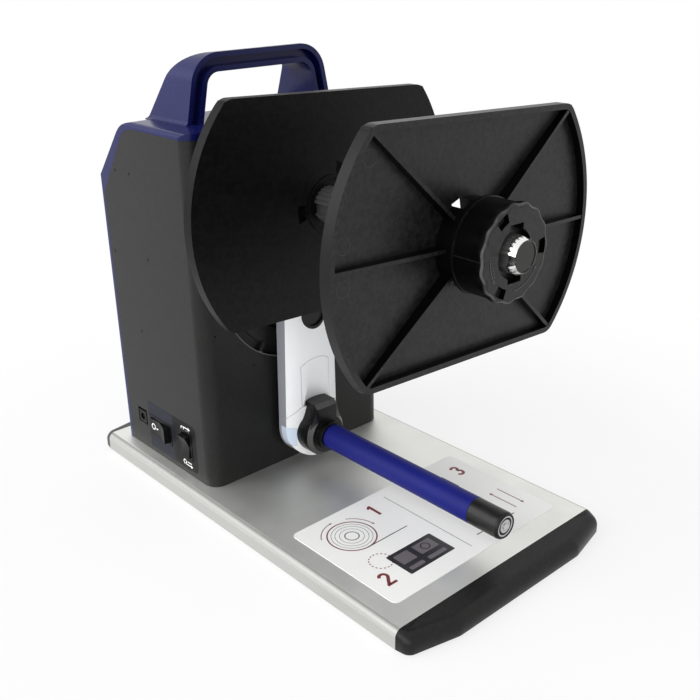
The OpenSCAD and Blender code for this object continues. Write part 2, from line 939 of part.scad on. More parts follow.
// Flanged cup for a bearing, with its flange against a plate face at y
module bearing_housing(y, way) {
    color(silver) translate([0, y, axis_z]) mirror([0, way > 0 ? 0 : 1, 0]) difference() {
        union() {
            bar_y(housing_flange_r, -housing_flange_t, 0);
            bar_y(housing_boss_r, -cut, housing_boss_l);
        }
        bar_y(bearing_r + run_gap, -housing_flange_t - cut, housing_boss_l - 1);
        bar_y(bearing_r - 3, -cut, housing_boss_l + cut);
        for (p = housing_screw_at) bar_y(screw_r + run_gap, -housing_flange_t - cut, cut, p);
    }
}

module front_bearing_housing() {
    bearing_housing(chassis_y, 1);
}

module rear_bearing_housing() {
    bearing_housing(gear_plate_back, -1);
}

module bearing_screws() {
    color(steel) for (p = housing_screw_at) {
        screw_y([p[0], axis_z + p[1]], chassis_y - housing_flange_t, housing_flange_t + sheet, -1);
        screw_y([p[0], axis_z + p[1]], gear_plate_back + housing_flange_t, housing_flange_t + sheet);
    }
}

// Sealed bearing with shallow rings on its faces
module sealed_bearing(y) {
    difference() {
        ring_y(bearing_r, shaft_r + run_gap, y, y + bearing_w, [0, axis_z]);
        ring_y(bearing_r - 3, shaft_r + 3, y - cut, y + 0.5, [0, axis_z]);
        ring_y(bearing_r - 3, shaft_r + 3, y + bearing_w - 0.5, y + bearing_w + cut, [0, axis_z]);
    }
}

module spindle_bearings() {
    color(silver) {
        sealed_bearing(chassis_y + housing_boss_l - 1 - bearing_w);
        sealed_bearing(gear_plate_back - housing_boss_l + 1);
    }
}

module gearbox() {
    at = [motor_x, deck + motor_h];
    color(steel) difference() {
        bar_y(gearbox_r, gear_plate_back, gear_plate_back + gearbox_l, at);
        bar_y(motor_shaft_r + run_gap, gear_plate_back - cut, gear_plate_back + 11, at);
    }
}

module motor() {
    at = [motor_x, deck + motor_h];
    color(silver) {
        bar_y(motor_r, gear_plate_back + gearbox_l, motor_end, at);
        bar_y(6, motor_end - cut, motor_end + 3, at);
    }
}

module motor_shaft() {
    color(steel) bar_y(motor_shaft_r, gear_y - 3, gear_plate_back + 10, [motor_x, deck + motor_h]);
}

// Straight-sided teeth, thin enough to run with play
function tooth(n, i) = let (
        pitch = 360 / n,
        root = tooth_m * (n / 2 - 1.25),
        tip = tooth_m * (n / 2 + 0.85),
        corners = [[root, -0.28], [tip, -0.12], [tip, 0.12], [root, 0.28]]
    ) [for (c = corners) c[0] * [cos((i + c[1]) * pitch), sin((i + c[1]) * pitch)]];

module gear_drawing(n, bore) {
    difference() {
        polygon([for (i = [0 : n - 1]) each tooth(n, i)]);
        circle(r = bore);
    }
}

module drive_pinion() {
    color(bronze) translate([motor_x, 0, deck + motor_h]) span_y(gear_y, gear_y + gear_w)
        rotate(mesh_angle + 180 + 180 / pinion_teeth) gear_drawing(pinion_teeth, motor_shaft_r);
}

module spindle_gear() {
    color(dark) translate([0, 0, axis_z]) {
        span_y(gear_y, gear_y + gear_w) rotate(mesh_angle) difference() {
            gear_drawing(gear_teeth, shaft_r);
            for (a = [30 : 60 : 330]) rotate(a) translate([26, 0]) circle(r = 8);
        }
        ring_y(11, shaft_r, gear_y + gear_w - cut, gear_y + gear_w + 5);
    }
}

// Spindle

module spindle_shaft() {
    color(steel) bar_y(shaft_r, core_end - 2, gear_plate_back + 6, [0, axis_z]);
}

module spindle_drawing(r) {
    difference() {
        circle(r = r);
        for (i = [0 : flute_n - 1]) rotate((i + 0.5) * 360 / flute_n) translate([r, 0]) circle(r = flute_r);
        for (a = key_angles) rotate(a) translate([core_r + key_out, 0]) circle(r = key_r);
    }
}

module spindle_core() {
    color(dark) on_spindle() difference() {
        union() {
            span_y(core_end, flange_face + 13) spindle_drawing(core_r);
            span_y(flange_face - root_l, flange_face + hub_recess) spindle_drawing(root_r);
        }
        bar_y(shaft_r, core_end - cut, flange_face + 13 + cut);
    }
}

// Bright turned end of the spindle
module spindle_tip() {
    color(silver) on_spindle() difference() {
        intersection() {
            span_y(tip_face, core_end) spindle_drawing(core_r);
            union() {
                bar_y(core_r + cut, tip_face + tip_cone, core_end);
                translate([0, tip_face + tip_cone, 0]) rotate([90, 0, 0])
                    cylinder(r1 = core_r, r2 = core_r - tip_chamfer, h = tip_cone);
            }
        }
        bar_y(core_r - tip_chamfer - 0.8, tip_face - cut, tip_face + 0.5);
        bar_y(shaft_r, core_end - 2, core_end + cut);
    }
}

module spindle_hub() {
    y = flange_face + inner_rib_h;
    color(dark) on_spindle() difference() {
        union() {
            bar_y(hub_disc_r, y, y + hub_disc_t);
            bar_y(hub_neck_r, y + hub_disc_t - cut, chassis_y - housing_flange_t - 1.5);
        }
        bar_y(shaft_r, y - cut, chassis_y);
        for (a = hub_screw_angles) {
            bar_y(screw_r + run_gap, y - cut, y + hub_disc_t + cut, hub_screw_r * [cos(a), sin(a)]);
        }
    }
}

module hub_screws() {
    y = flange_face + inner_rib_h + hub_disc_t;
    color(steel) on_spindle() for (a = hub_screw_angles) {
        screw_y(hub_screw_r * [cos(a), sin(a)], y, hub_disc_t + 8);
    }
}

// Flanges

// Round plate with two flats, its four corners rounded, drawn in by an inset
module flange_outline(inset) {
    big = flange_d / 2 - inset;
    flat = flange_flat / 2 - inset;
    r = flange_corner_r - inset;
    at = [sqrt(pow(big - r, 2) - pow(flat - r, 2)), flat - r];
    up = [0, 1];
    out = unit(at);
    wedge = [at, at + 2 * r * up, at + 3 * r * unit(up + out), at + 2 * r * out];
    corners = [for (x = [-1, 1], y = [-1, 1]) [x, y]];
    difference() {
        circle(r = big, $fn = 128);
        translate([-big, flat]) square([2 * big, big]);
        translate([-big, -flat - big]) square([2 * big, big]);
        for (c = corners) polygon([for (p = wedge) [c[0] * p[0], c[1] * p[1]]]);
    }
    for (c = corners) translate([c[0] * at[0], c[1] * at[1]]) circle(r = r);
}

// Rib seen from the side: its drawing runs out from the hub, and its height is toward +Y of the drawing
module rib_drawing(from_r, to_r, tall) {
    polygon([[from_r, 0], [to_r, 0], [to_r, rim_h - 0.5], [from_r, tall]]);
}

// Flange with its roll face at y = 0 and its ribs toward -Y
module flange(tall, hub_r) {
    span_y(-flange_t, 0) flange_outline(0);
    span_y(-rim_h, -flange_t + 0.1) difference() {
        flange_outline(0);
        flange_outline(rim_w);
    }
    for (a = rib_angles) {
        reach = (a == 0 || a == 180) ? flange_d / 2 : flange_flat / 2 / abs(sin(a));
        rotate([0, -a, 0]) translate([0, 0, -rib_t / 2]) mirror([0, 1, 0]) linear_extrude(rib_t)
            rib_drawing(hub_r - cut, reach - rim_w + 0.5, tall);
    }
    bar_y(hub_r, -tall, 0);
}

module spoke_window(a, r0, r1, half) {
    rotate(a) polygon([
        [r0, -r0 * tan(half)], [r1, -r1 * tan(half)], [r1, r1 * tan(half)], [r0, r0 * tan(half)]
    ]);
}

module inner_flange() {
    color(black) on_spindle() translate([0, flange_face, 0]) difference() {
        mirror([0, 1, 0]) flange(inner_rib_h, flange_hub_r);
        bar_y(core_r + run_gap, -cut, inner_rib_h + cut);
        for (a = hub_screw_angles) {
            bar_y(screw_r, inner_rib_h - 9, inner_rib_h + cut, hub_screw_r * [cos(a), sin(a)]);
        }
        bar_y(hub_recess_r, -cut, hub_recess);
        ring_y(hub_groove_r + hub_groove, hub_groove_r, -cut, hub_groove);
        for (a = key_angles) span_y(-cut, flange_t + cut) spoke_window(a, window_in, window_out, window_half);
    }
}

// Bore for the spindle, with tongues left standing for its key grooves
module keyed_bore(y0, y1) {
    span_y(y0, y1) difference() {
        circle(r = core_r + run_gap);
        for (a = key_angles) rotate(a) translate([core_r + key_out, 0]) circle(r = key_r - free_gap);
    }
}

module outer_flange() {
    color(black) on_spindle() difference() {
        union() {
            translate([0, flange_front, 0]) flange(outer_rib_h, collar_r);
            bar_y(collar_r, collar_end, flange_front);
            bar_y(collar_lip_r, collar_end, collar_end + collar_lip_l);
            bar_y(knob_tube_r, knob_front + 7, collar_end + cut);
        }
        keyed_bore(knob_front, flange_front + cut);
        ring_y(knob_tube_r + cut, knob_tube_r - 1, snap_y, snap_y + snap_t);
        for (a = key_angles) {
            span_y(flange_front - root_window_l, flange_front + cut)
                spoke_window(180 - a, root_window_in, root_window_out, root_window_half);
        }
    }
}

module knob_rim() {
    lobe = 360 / knob_lobes;
    difference() {
        circle(r = knob_d / 2);
        for (i = [0 : knob_lobes - 1]) {
            rotate((i + 0.5) * lobe) translate([knob_d / 2 + lobe_r - lobe_depth, 0]) circle(r = lobe_r);
        }
    }
}

module lock_knob() {
    color(black) on_spindle() difference() {
        union() {
            bar_y(knob_body_r, knob_front + knob_rim_l, knob_back);
            span_y(knob_front, knob_front + knob_rim_l + cut) knob_rim();
        }
        bar_y(knob_tube_r + run_gap, knob_front + 4, knob_back + cut);
        bar_y(snap_r + free_gap, snap_y - free_gap, snap_y + snap_t + free_gap);
        bar_y(knob_hole_r, knob_front - cut, knob_front + 5);
        translate([-knob_notch_w / 2, knob_front - cut, -knob_notch_r])
            cube([knob_notch_w, 5 + cut, 2 * knob_notch_r]);
        for (a = pocket_angles) rotate([0, -a, 0])
            translate([knob_d / 2 - pocket_in, knob_front - cut, -pocket[1] / 2])
            cube([pocket[0], pocket[2] + cut, pocket[1]]);
    }
}

// Snap ring in a groove of the flange's tube that keeps the knob on
module knob_retainer() {
    color(steel) on_spindle() ring_y(snap_r, knob_tube_r - 1, snap_y, snap_y + snap_t);
}

// Tension arm

module arm_bush() {
    color(bronze) difference() {
        union() {
            bar_y(14, chassis_y - sheet, chassis_y, [0, pivot_z]);
            bar_y(10, chassis_y - cut, chassis_y + sheet + 6, [0, pivot_z]);
        }
        bar_y(shaft_r + run_gap, floor_y, chassis_y + sheet + 6 + cut, [0, pivot_z]);
    }
}

// One closed tube wound round the bush, swept ring by ring
module arm_spring() {
    steps = 20;
    sides = 8;
    rings = [for (k = [0 : spring_turns * steps]) let (a = 360 * k / steps) [
        for (s = [0 : sides - 1]) let (b = 360 * s / sides, r = spring_r + spring_wire * cos(b)) [
            r * cos(a), spring_start + spring_pitch * k / steps + spring_wire * sin(b),
            pivot_z + r * sin(a)
        ]
    ]];
    points = [for (ring = rings) each ring];
    last = len(rings) - 1;
    walls = [for (k = [0 : last - 1], s = [0 : sides - 1]) let (t = (s + 1) % sides)
        [k * sides + s, k * sides + t, (k + 1) * sides + t, (k + 1) * sides + s]];
    ends = [[for (s = [sides - 1 : -1 : 0]) s], [for (s = [0 : sides - 1]) last * sides + s]];
    color(steel) polyhedron(points, concat(walls, ends));
}

module tension_sensor() {
    color(dark) difference() {
        union() {
            bar_y(sensor_r, gear_plate_back, gear_plate_back + sensor_l, [0, pivot_z]);
            translate([-sensor_lug[0] / 2, gear_plate_back, pivot_z - sensor_lug_drop]) cube(sensor_lug);
        }
        bar_y(shaft_r + run_gap, gear_plate_back - cut, gear_plate_back + sensor_grip + 1, [0, pivot_z]);
    }
}

module arm_shaft() {
    color(steel) {
        bar_y(shaft_r, arm_rear - arm_plate_t, gear_plate_back + sensor_grip, [0, pivot_z]);
        bar_y(shaft_collar_r, spring_end + free_gap, spring_end + shaft_collar_l, [0, pivot_z]);
    }
}

module arm_hub() {
    hub_y = body_front + well_depth - 0.4 - hub_t;
    color(black) difference() {
        union() {
            bar_y(hub_r, hub_y, hub_y + hub_t, [0, pivot_z]);
            bar_y(arm_neck_r, arm_rear, hub_y + cut, [0, pivot_z]);
        }
        bar_y(shaft_r, arm_rear - cut, body_front + well_depth, [0, pivot_z]);
    }
}

// Pin behind the arm that runs between the stops in the well
module stop_pin() {
    color(steel) bar_y(stop_pin_r, arm_rear, body_front + well_depth - 0.4, [0, pivot_z - stop_pin_at]);
}

// Front view of the arm, wider at its foot, drawn in by an inset. The straight sides lie a hair
// inside the round ends, so that the two meet at a clean crossing.
module arm_outline(inset) {
    top = arm_top_r - inset;
    foot = arm_foot_r - inset;
    lean = asin((arm_foot_r - arm_top_r) / (pivot_h - arm_foot_h));
    way = [cos(lean), sin(lean)];
    low = [0, arm_foot_h] + (foot - hair) * way;
    high = [0, pivot_h] + (top - hair) * way;
    translate([0, pivot_h]) circle(r = top);
    translate([0, arm_foot_h]) circle(r = foot);
    polygon([[-low[0], low[1]], low, high, [-high[0], high[1]]]);
}

// Body with the arm's outline and its rounded front, drawn in by an inset
module arm_block(inset, rear) {
    intersection() {
        at_deck() span_y(crown_y - cut, rear) arm_outline(inset);
        translate([0, crown_y + crown_r, deck]) rotate([0, 0, 90])
            cylinder(r = crown_r - inset, h = pivot_h + 2 * arm_foot_r, $fn = 96);
    }
}

// Arch-shaped front of the lower cover
module arch(grow) {
    polygon([
        [-2 * arm_foot_r, -arm_foot_r], [2 * arm_foot_r, -arm_foot_r],
        [2 * arm_foot_r, arch_shoulder + grow], [arm_foot_r, arch_shoulder + grow],
        [arch_w + grow, arch_low + grow], [-arch_w - grow, arch_low + grow],
        [-arm_foot_r, arch_shoulder + grow], [-2 * arm_foot_r, arch_shoulder + grow]
    ]);
    intersection() {
        translate([0, arch_top - arch_r]) circle(r = arch_r + grow, $fn = 96);
        translate([-arch_w - grow, arch_low - cut]) square([2 * (arch_w + grow), arch_top]);
    }
}

module arm_plate() {
    color(steel) difference() {
        at_deck() span_y(arm_rear - arm_plate_t, arm_rear) arm_outline(arm_wall + slack);
        bar_y(shaft_r, arm_rear - arm_plate_t - cut, arm_rear + cut, [0, pivot_z]);
        bar_y(roller_shaft_r, arm_rear - arm_plate_t - cut, arm_rear + cut, [0, roller_z]);
    }
}

module arm_cover() {
    color(pale) difference() {
        arm_block(0, arm_rear);
        arm_block(arm_wall, arm_rear + cut);
        at_deck() span_y(crown_y - cut, arm_rear + cut) arch(arm_seam / 2);
        bar_y(cap_r + slack, crown_y - cut, arm_rear - arm_plate_t, [0, deck + cap_h]);
    }
}

// Wedge on the left or right of the foot that a tab fills
module tab_outline(inset) {
    polygon([
        [19.9 + inset, 38.2 - inset], [20.6 + inset, 21.4 + inset],
        [40, 26 + inset], [40, 42 - inset]
    ]);
}

module tab_band(inset, depth) {
    intersection() {
        difference() {
            arm_block(0, arm_rear - arm_plate_t);
            arm_block(depth, arm_rear);
        }
        at_deck() span_y(crown_y - cut, arm_rear - arm_plate_t + cut) both_sides_2d() tab_outline(inset);
    }
}

module arm_lower_cover() {
    color(pale) difference() {
        intersection() {
            arm_block(0, arm_rear);
            at_deck() span_y(crown_y - cut, arm_rear + cut) arch(-arm_seam / 2);
        }
        at_deck() span_y(arm_rear - arm_plate_t, arm_rear + cut) arm_outline(arm_wall);
        at_deck() span_y(crown_y - cut, mount_back) mount_outline(slack);
        bar_y(roller_shaft_r + slack, crown_y, arm_rear, [0, roller_z]);
        tab_band(0, tab_t);
        translate([0, crown_y - scoop_r, deck + scoop_top]) rotate([180 + scoop_tilt, 0, 0])
            cylinder(r = scoop_r, h = scoop_l);
    }
}

module arm_tabs() {
    color([0.8, 0.85, 0.95]) tab_band(slack, tab_t);
}

// Dished round cap in the arm's face
module arm_cap() {
    color(black) difference() {
        bar_y(cap_r, crown_y + 0.8, arm_rear - arm_plate_t, [0, deck + cap_h]);
        bar_y(cap_r - 2, crown_y, crown_y + 2.6, [0, deck + cap_h]);
    }
}

// Pear-shaped front view of the roller's mount
module mount_outline(grow) {
    translate([0, roller_h]) circle(r = mount_r + grow);
    mount_trunk(grow);
}

// Trunk above the mount's round foot, its sides drawn in by two large arcs
module mount_trunk(grow) {
    low = 3;
    translate([0, roller_h]) difference() {
        translate([-trunk_low_w - grow, low]) square([2 * (trunk_low_w + grow), trunk_h + grow - low]);
        both_sides_2d() translate(waist_at) circle(r = waist_r - grow, $fn = 128);
    }
}

module roller_mount() {
    y = mount_front + mount_edge;
    color(black) difference() {
        union() {
            at_deck() span_y(y, mount_back) mount_outline(0);
            at_deck() translate([0, y, roller_h]) rotate([90, 0, 0])
                cylinder(r1 = mount_r, r2 = mount_r - mount_edge, h = mount_edge);
            at_deck() intersection() {
                span_y(mount_front, y + cut) mount_trunk(0);
                span_x(-mount_r, mount_r) polygon([
                    [mount_front, roller_h], [y + cut, roller_h], [y + cut, roller_h + trunk_h],
                    [y, roller_h + trunk_h], [mount_front, roller_h + trunk_h - mount_edge]
                ]);
                span_z(0, roller_h + trunk_h + cut) polygon([
                    [-mount_r, y], [-mount_r, y + cut], [mount_r, y + cut], [mount_r, y],
                    [trunk_top_w - 1, mount_front], [1 - trunk_top_w, mount_front]
                ]);
            }
            bar_y(mount_collar_r, mount_front - mount_collar_l, mount_front + cut, [0, roller_z]);
        }
        bar_y(roller_shaft_r, mount_front - mount_collar_l - cut, mount_back + cut, [0, roller_z]);
    }
}

// Roller

module roller_shaft() {
    color(steel) {
        bar_y(roller_shaft_r, roller_end + 0.8, arm_rear, [0, roller_z]);
        bar_y(2.6, roller_end - 0.2, roller_end + 1, [0, roller_z]);
    }
}

module bearing_rings(r_out, r_in) {
    for (y = roller_bearing_at) ring_y(r_out, r_in, y - roller_bearing_w, y, [0, roller_z]);
}

module bearing_inner_rings() {
    color(silver) bearing_rings(race_in_r, roller_shaft_r);
}

module bearing_outer_rings() {
    color(silver) bearing_rings(roller_bearing_r, race_out_r);
}

module bearing_seals() {
    color(dark) for (y = roller_bearing_at) {
        ring_y(race_out_r, race_in_r + run_gap, y - roller_bearing_w + 0.5, y - 0.5, [0, roller_z]);
    }
}

module roller_sleeve() {
    color(blue) ring_y(roller_d / 2, roller_bearing_r, sleeve_front, sleeve_back, [0, roller_z]);
}

module roller_end_cap() {
    color(black) difference() {
        union() {
            bar_y(roller_d / 2, roller_end + 2, sleeve_front, [0, roller_z]);
            translate([0, roller_end + 2, roller_z]) rotate([90, 0, 0])
                cylinder(r1 = roller_d / 2, r2 = roller_d / 2 - 1.2, h = 2);
            bar_y(roller_bearing_r, sleeve_front - cut, sleeve_front + 10, [0, roller_z]);
        }
        bar_y(roller_shaft_r + 1.5, roller_end - cut, sleeve_front + 11, [0, roller_z]);
        bar_y(roller_bearing_r, roller_end - cut, roller_end + 0.4 + roller_bearing_w, [0, roller_z]);
    }
}

base_plate();
front_end_cap();
rear_end_cap();
rubber_feet();
instruction_label();
front_cover();
rear_cover();
cover_screws();
base_screws();
cover_post_screws();
switch_panel();
power_switch_frame();
power_rocker();
direction_switch_frame();
direction_rocker();
dc_jack();
circuit_board();
board_components();
board_standoffs();
chassis();
gear_plate();
plate_standoffs();
plate_screws();
front_bearing_housing();
rear_bearing_housing();
bearing_screws();
spindle_bearings();
gearbox();
motor();
motor_shaft();
drive_pinion();
spindle_gear();
spindle_shaft();
spindle_core();
spindle_tip();
spindle_hub();
inner_flange();
hub_screws();
outer_flange();
lock_knob();
knob_retainer();
arm_bush();
arm_spring();
tension_sensor();
arm_shaft();
arm_hub();
stop_pin();
arm_plate();
arm_cover();
arm_lower_cover();
arm_tabs();
arm_cap();
roller_mount();
roller_shaft();
bearing_inner_rings();
bearing_outer_rings();
bearing_seals();
roller_sleeve();
roller_end_cap();
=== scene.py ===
import json
import math
from functools import reduce

import bmesh
import bpy
from mathutils import Matrix, Vector


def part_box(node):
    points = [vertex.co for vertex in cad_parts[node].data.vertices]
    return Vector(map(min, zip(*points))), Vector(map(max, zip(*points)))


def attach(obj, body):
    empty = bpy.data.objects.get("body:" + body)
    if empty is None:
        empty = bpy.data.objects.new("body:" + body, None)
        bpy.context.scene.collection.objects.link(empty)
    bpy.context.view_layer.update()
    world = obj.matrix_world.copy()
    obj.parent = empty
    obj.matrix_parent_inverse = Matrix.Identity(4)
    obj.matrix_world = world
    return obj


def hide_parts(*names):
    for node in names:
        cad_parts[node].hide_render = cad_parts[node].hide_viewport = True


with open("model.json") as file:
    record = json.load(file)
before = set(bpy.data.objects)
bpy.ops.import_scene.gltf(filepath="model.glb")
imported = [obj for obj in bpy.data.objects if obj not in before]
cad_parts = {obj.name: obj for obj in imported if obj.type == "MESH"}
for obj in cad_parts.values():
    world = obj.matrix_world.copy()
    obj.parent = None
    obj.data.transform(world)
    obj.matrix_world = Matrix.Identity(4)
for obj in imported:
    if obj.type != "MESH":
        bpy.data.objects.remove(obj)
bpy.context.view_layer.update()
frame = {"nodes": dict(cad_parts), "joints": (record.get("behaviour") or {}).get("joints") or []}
nodes = frame["nodes"]

MM = 0.001


def in_mm(box):
    """A box's lowest and highest corners, in millimetres."""
    return [corner / MM for corner in box]


def axis_height(joint):
    """Height of a joint's axis, in millimetres."""
    return next(row["pos_m"][2] for row in frame["joints"] if row["name"] == joint) / MM


# Camera of the photograph, in the part's frame
CAMERA_AT = Vector((-459.7, -542.2, 430.9)) * MM
CAMERA_YAW = math.radians(41.772)
CAMERA_PITCH = math.radians(23.15)
CAMERA_ROLL = math.radians(-0.942)
LENS_PX = 948.71
IMAGE_PX = 700
SENSOR = 36.0
CLIP_NEAR = 0.01
CLIP_FAR = 100

# Light and floor, in metres where they are lengths
SUN_FROM = Vector((-0.8, 0.45, 0.5))
SUN_STRENGTH = 2.1
SUN_ANGLE = math.radians(55)
FILL_FROM = Vector((-0.9, -0.4, 0.15))
FILL_STRENGTH = 1.3
FILL_ANGLE = math.radians(60)
STUDIO_DIM = 0.54
STUDIO_BRIGHT = 0.95
STUDIO_FROM = Vector((-0.75, 0.2, 0.65))
STUDIO_SPREAD = (-0.5, 0.9)
WHITE = (1, 1, 1, 1)
FLOOR_COLOUR = (0.8, 0.8, 0.8)
FLOOR_LIFT = 0.76
FLOOR_NEAR = 0.28
FLOOR_FAR = 0.6
FLOOR_SIZE = 40.0

# Soft edges, in millimetres like all lengths from here on
EDGE_ANGLE = math.radians(38)
CAP_ANGLE = math.radians(14)
SHARP_ANGLE = math.radians(42)
WIDE_EDGE = 1.5
WELD = 0.004

# Base plate and its end caps
PLATE_LOW, PLATE_HIGH = in_mm(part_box("base_plate"))
PLATE_COLOUR = (0.78, 0.785, 0.75)
PLATE_ROUND = 6.0
CAP_L = PLATE_LOW.y - in_mm(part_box("front_end_cap"))[0].y
CAP_FALL = 4.0
CAP_ROUND = 9.5
CAP_SWELL_L = 12
CAP_SHOULDER = (1.7, 11, 7.5)
CAP_NOSE = (42, 16)
CAP_STEP = 4
CAP_FOOT = 1.2
CAP_FOOT_MID = 0.35
BEND_STEPS = 10
CREST_STEPS = 8

# Housing, its well and its lid
PIVOT_Z = axis_height("arm_swing")
WELL_R = 72.6
WELL_LIP_Y = 39.4
WELL_LIP_EDGE = (0.35, 0.9)
SIDE_SPECKS = ((145.7, 267.6), (123.7, 267.8), (160.5, 197.2), (107.9, 200.8), (130.3, 133.0))
SIDE_SPECK_MORE = 0.6
FRONT_SPECKS = ((-82.0, 151.2), (-46.6, 116.2))
FRONT_SPECKS_Y = 60
SPECK_EDGE = (0.55, 1.0)
SPECK_DEEP = 3
OUT_OF_REACH = 9
LID_CORNER_R = 12.0
LID_WALL = 3.0
LID_GAP = (0.2, 2.1)
LID_SINK = 0.03
LID_HALF_TURN = 14
LID_STEPS = 9
PANEL_SPLIT = 95.0
SIGN_HEIGHTS = (42.2, 10.4)

# Spindle and flanges
AXIS_Z = axis_height("spindle_spin")
TIP_FACE = in_mm(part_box("spindle_tip"))[0].y
TIP_FACE_R = 10.6
FLANGE_R = 125.0
FLANGE_FLAT = 83.3
PIN_MARKS = ((-86.9, 67.8), (-108.9, 19.4), (-109.5, -6.9), (-86.9, -67.8), (86.9, 67.8), (108.9, 19.4),
             (108.9, -19.4), (86.9, -67.8))
PIN_R = 5.2
PIN_EDGE = (0.1, 0.45)

# Lock knob
KNOB_LOW, KNOB_HIGH = in_mm(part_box("lock_knob"))
KNOB_LOBES = 15
KNOB_WAVE = 1.3
KNOB_ROUND = 2.4
KNOB_ROUND_STEPS = 7
KNOB_BEVEL = 0.5
KNOB_SKIRT = 9
KNOB_FLARE = ((7.5, 0.25), (6.0, 0.7), (KNOB_ROUND + 1.8, 0.95))
KNOB_BORE = 21.05
KNOB_GROOVE_R = 22.8
KNOB_GROOVE_PLAY = 0.3
KNOB_COLUMNS = 240
HOLE_R = 16.5
HOLE_DEEP = 4
NOTCH_R = 19.3
NOTCH_HALF = 6.5
TINY = 1e-6
POCKET_IN = 23.2
POCKET_OUT = 29.9
POCKET_DEEP = 4.0
POCKET_TURNS = (0, 120, 240)
POCKET_HALF_COLUMNS = 7
KNOB_SEAM_UP = 1
KNOB_SEAM_X = -20
TURN_MARK_R = 24.6
TURN_MARKS = ((176, 212), (270, 326))
TURN_TICK_R = 22.6
TURN_TICKS = range(182, 212, 6)

# Print and marks: how far they reach into a face and stand out of it, and their arrows' heads by line width
INK = (-0.04, 0.05)
OVERPRINT = (0.05, 0.09)
PAINT = (-0.05, 0.06)
RAISED = (-0.05, 0.25)
HEAD_L = 3.2
BENT_HEAD_L = 3
HEAD_HALF = 1.7

# Textures, as repeats per millimetre
PLASTIC_DRIFT = 0.018
METAL_DRIFT = 0.02
BLOTCHES = 0.3
DUST_MOTES = 0.35
DUST_PATCHES = 0.05
# Patches that break up the knob's painted highlight
HIGHLIGHT_PATCHES = 0.12
TURNING_MARKS = 3.0

# Tones that a finish has in some places only, and painted shade and painted highlights on some walls and
# edges
DUST_GREY = (0.5, 0.5, 0.48)
# Painted highlight on the well's lip
LIP_HIGHLIGHT_GREY = (0.12, 0.12, 0.12)
PIT_BLACK = (0.001, 0.001, 0.001)
PIN_GREY = (0.05, 0.05, 0.05)
# Painted shade on the flanges' walls
FLANGE_WALL_SHADE = (0.004, 0.004, 0.004)
# Painted highlight along rounded edges
EDGE_HIGHLIGHT_GREY = (0.05, 0.05, 0.049)
# Painted shade on the knob's grip
GRIP_SHADE_BLACK = (0.006, 0.006, 0.0066)
# Painted highlight on the knob's rim and mould seam
KNOB_HIGHLIGHT_GREY = (0.075, 0.075, 0.073)
PANEL_REAR_BLUE = (0.011, 0.0125, 0.022)
# Painted shade on the arm covers' side walls
COVER_SIDE_SHADE_GREY = (0.34, 0.35, 0.39)
SAWN_GREY = (0.05, 0.05, 0.048)

# Screw heads, as shares of the head's radius or in millimetres
SCREW_STEPS = 32
SCREW_SHANK = 0.47
SCREW_TIP_L = 0.8
SCREW_HEAD_L = 2.2
SCREW_HEAD = ((1.0, SCREW_HEAD_L), (1.0, 1.1), (0.93, 0.5), (0.72, 0.0))
CROSS_ARM = 0.52
CROSS_HALF = 0.13
CROSS_DEEP = 1.3
CROSS_NARROW = 0.7


class Wire:
    """A node's output that can be added, multiplied and compared like a number."""

    def __init__(self, finish, socket):
        self.finish = finish
        self.socket = socket

    def math(self, operation, *values):
        return self.finish.node("ShaderNodeMath", {"operation": operation}, list(values))

    def __add__(self, other):
        return self.math("ADD", self, other)

    def __radd__(self, other):
        return self.math("ADD", other, self)

    def __sub__(self, other):
        return self.math("SUBTRACT", self, other)

    def __rsub__(self, other):
        return self.math("SUBTRACT", other, self)

    def __mul__(self, other):
        return self.math("MULTIPLY", self, other)

    def __rmul__(self, other):
        return self.math("MULTIPLY", other, self)

    def __lt__(self, other):
        return self.math("LESS_THAN", self, other)

    def __gt__(self, other):
        return self.math("GREATER_THAN", self, other)

    def __abs__(self):
        return self.math("ABSOLUTE", self)

    def low(self, other):
        return self.math("MINIMUM", self, other)

    def high(self, other):
        return self.math("MAXIMUM", self, other)

    def ramp(self, low, high):
        """0 at low, 1 at high, and a smooth run between them."""
        return self.finish.node(
            "ShaderNodeMapRange",
            {"interpolation_type": "SMOOTHSTEP"},
            {"Value": self, "From Min": low, "From Max": high},
        )


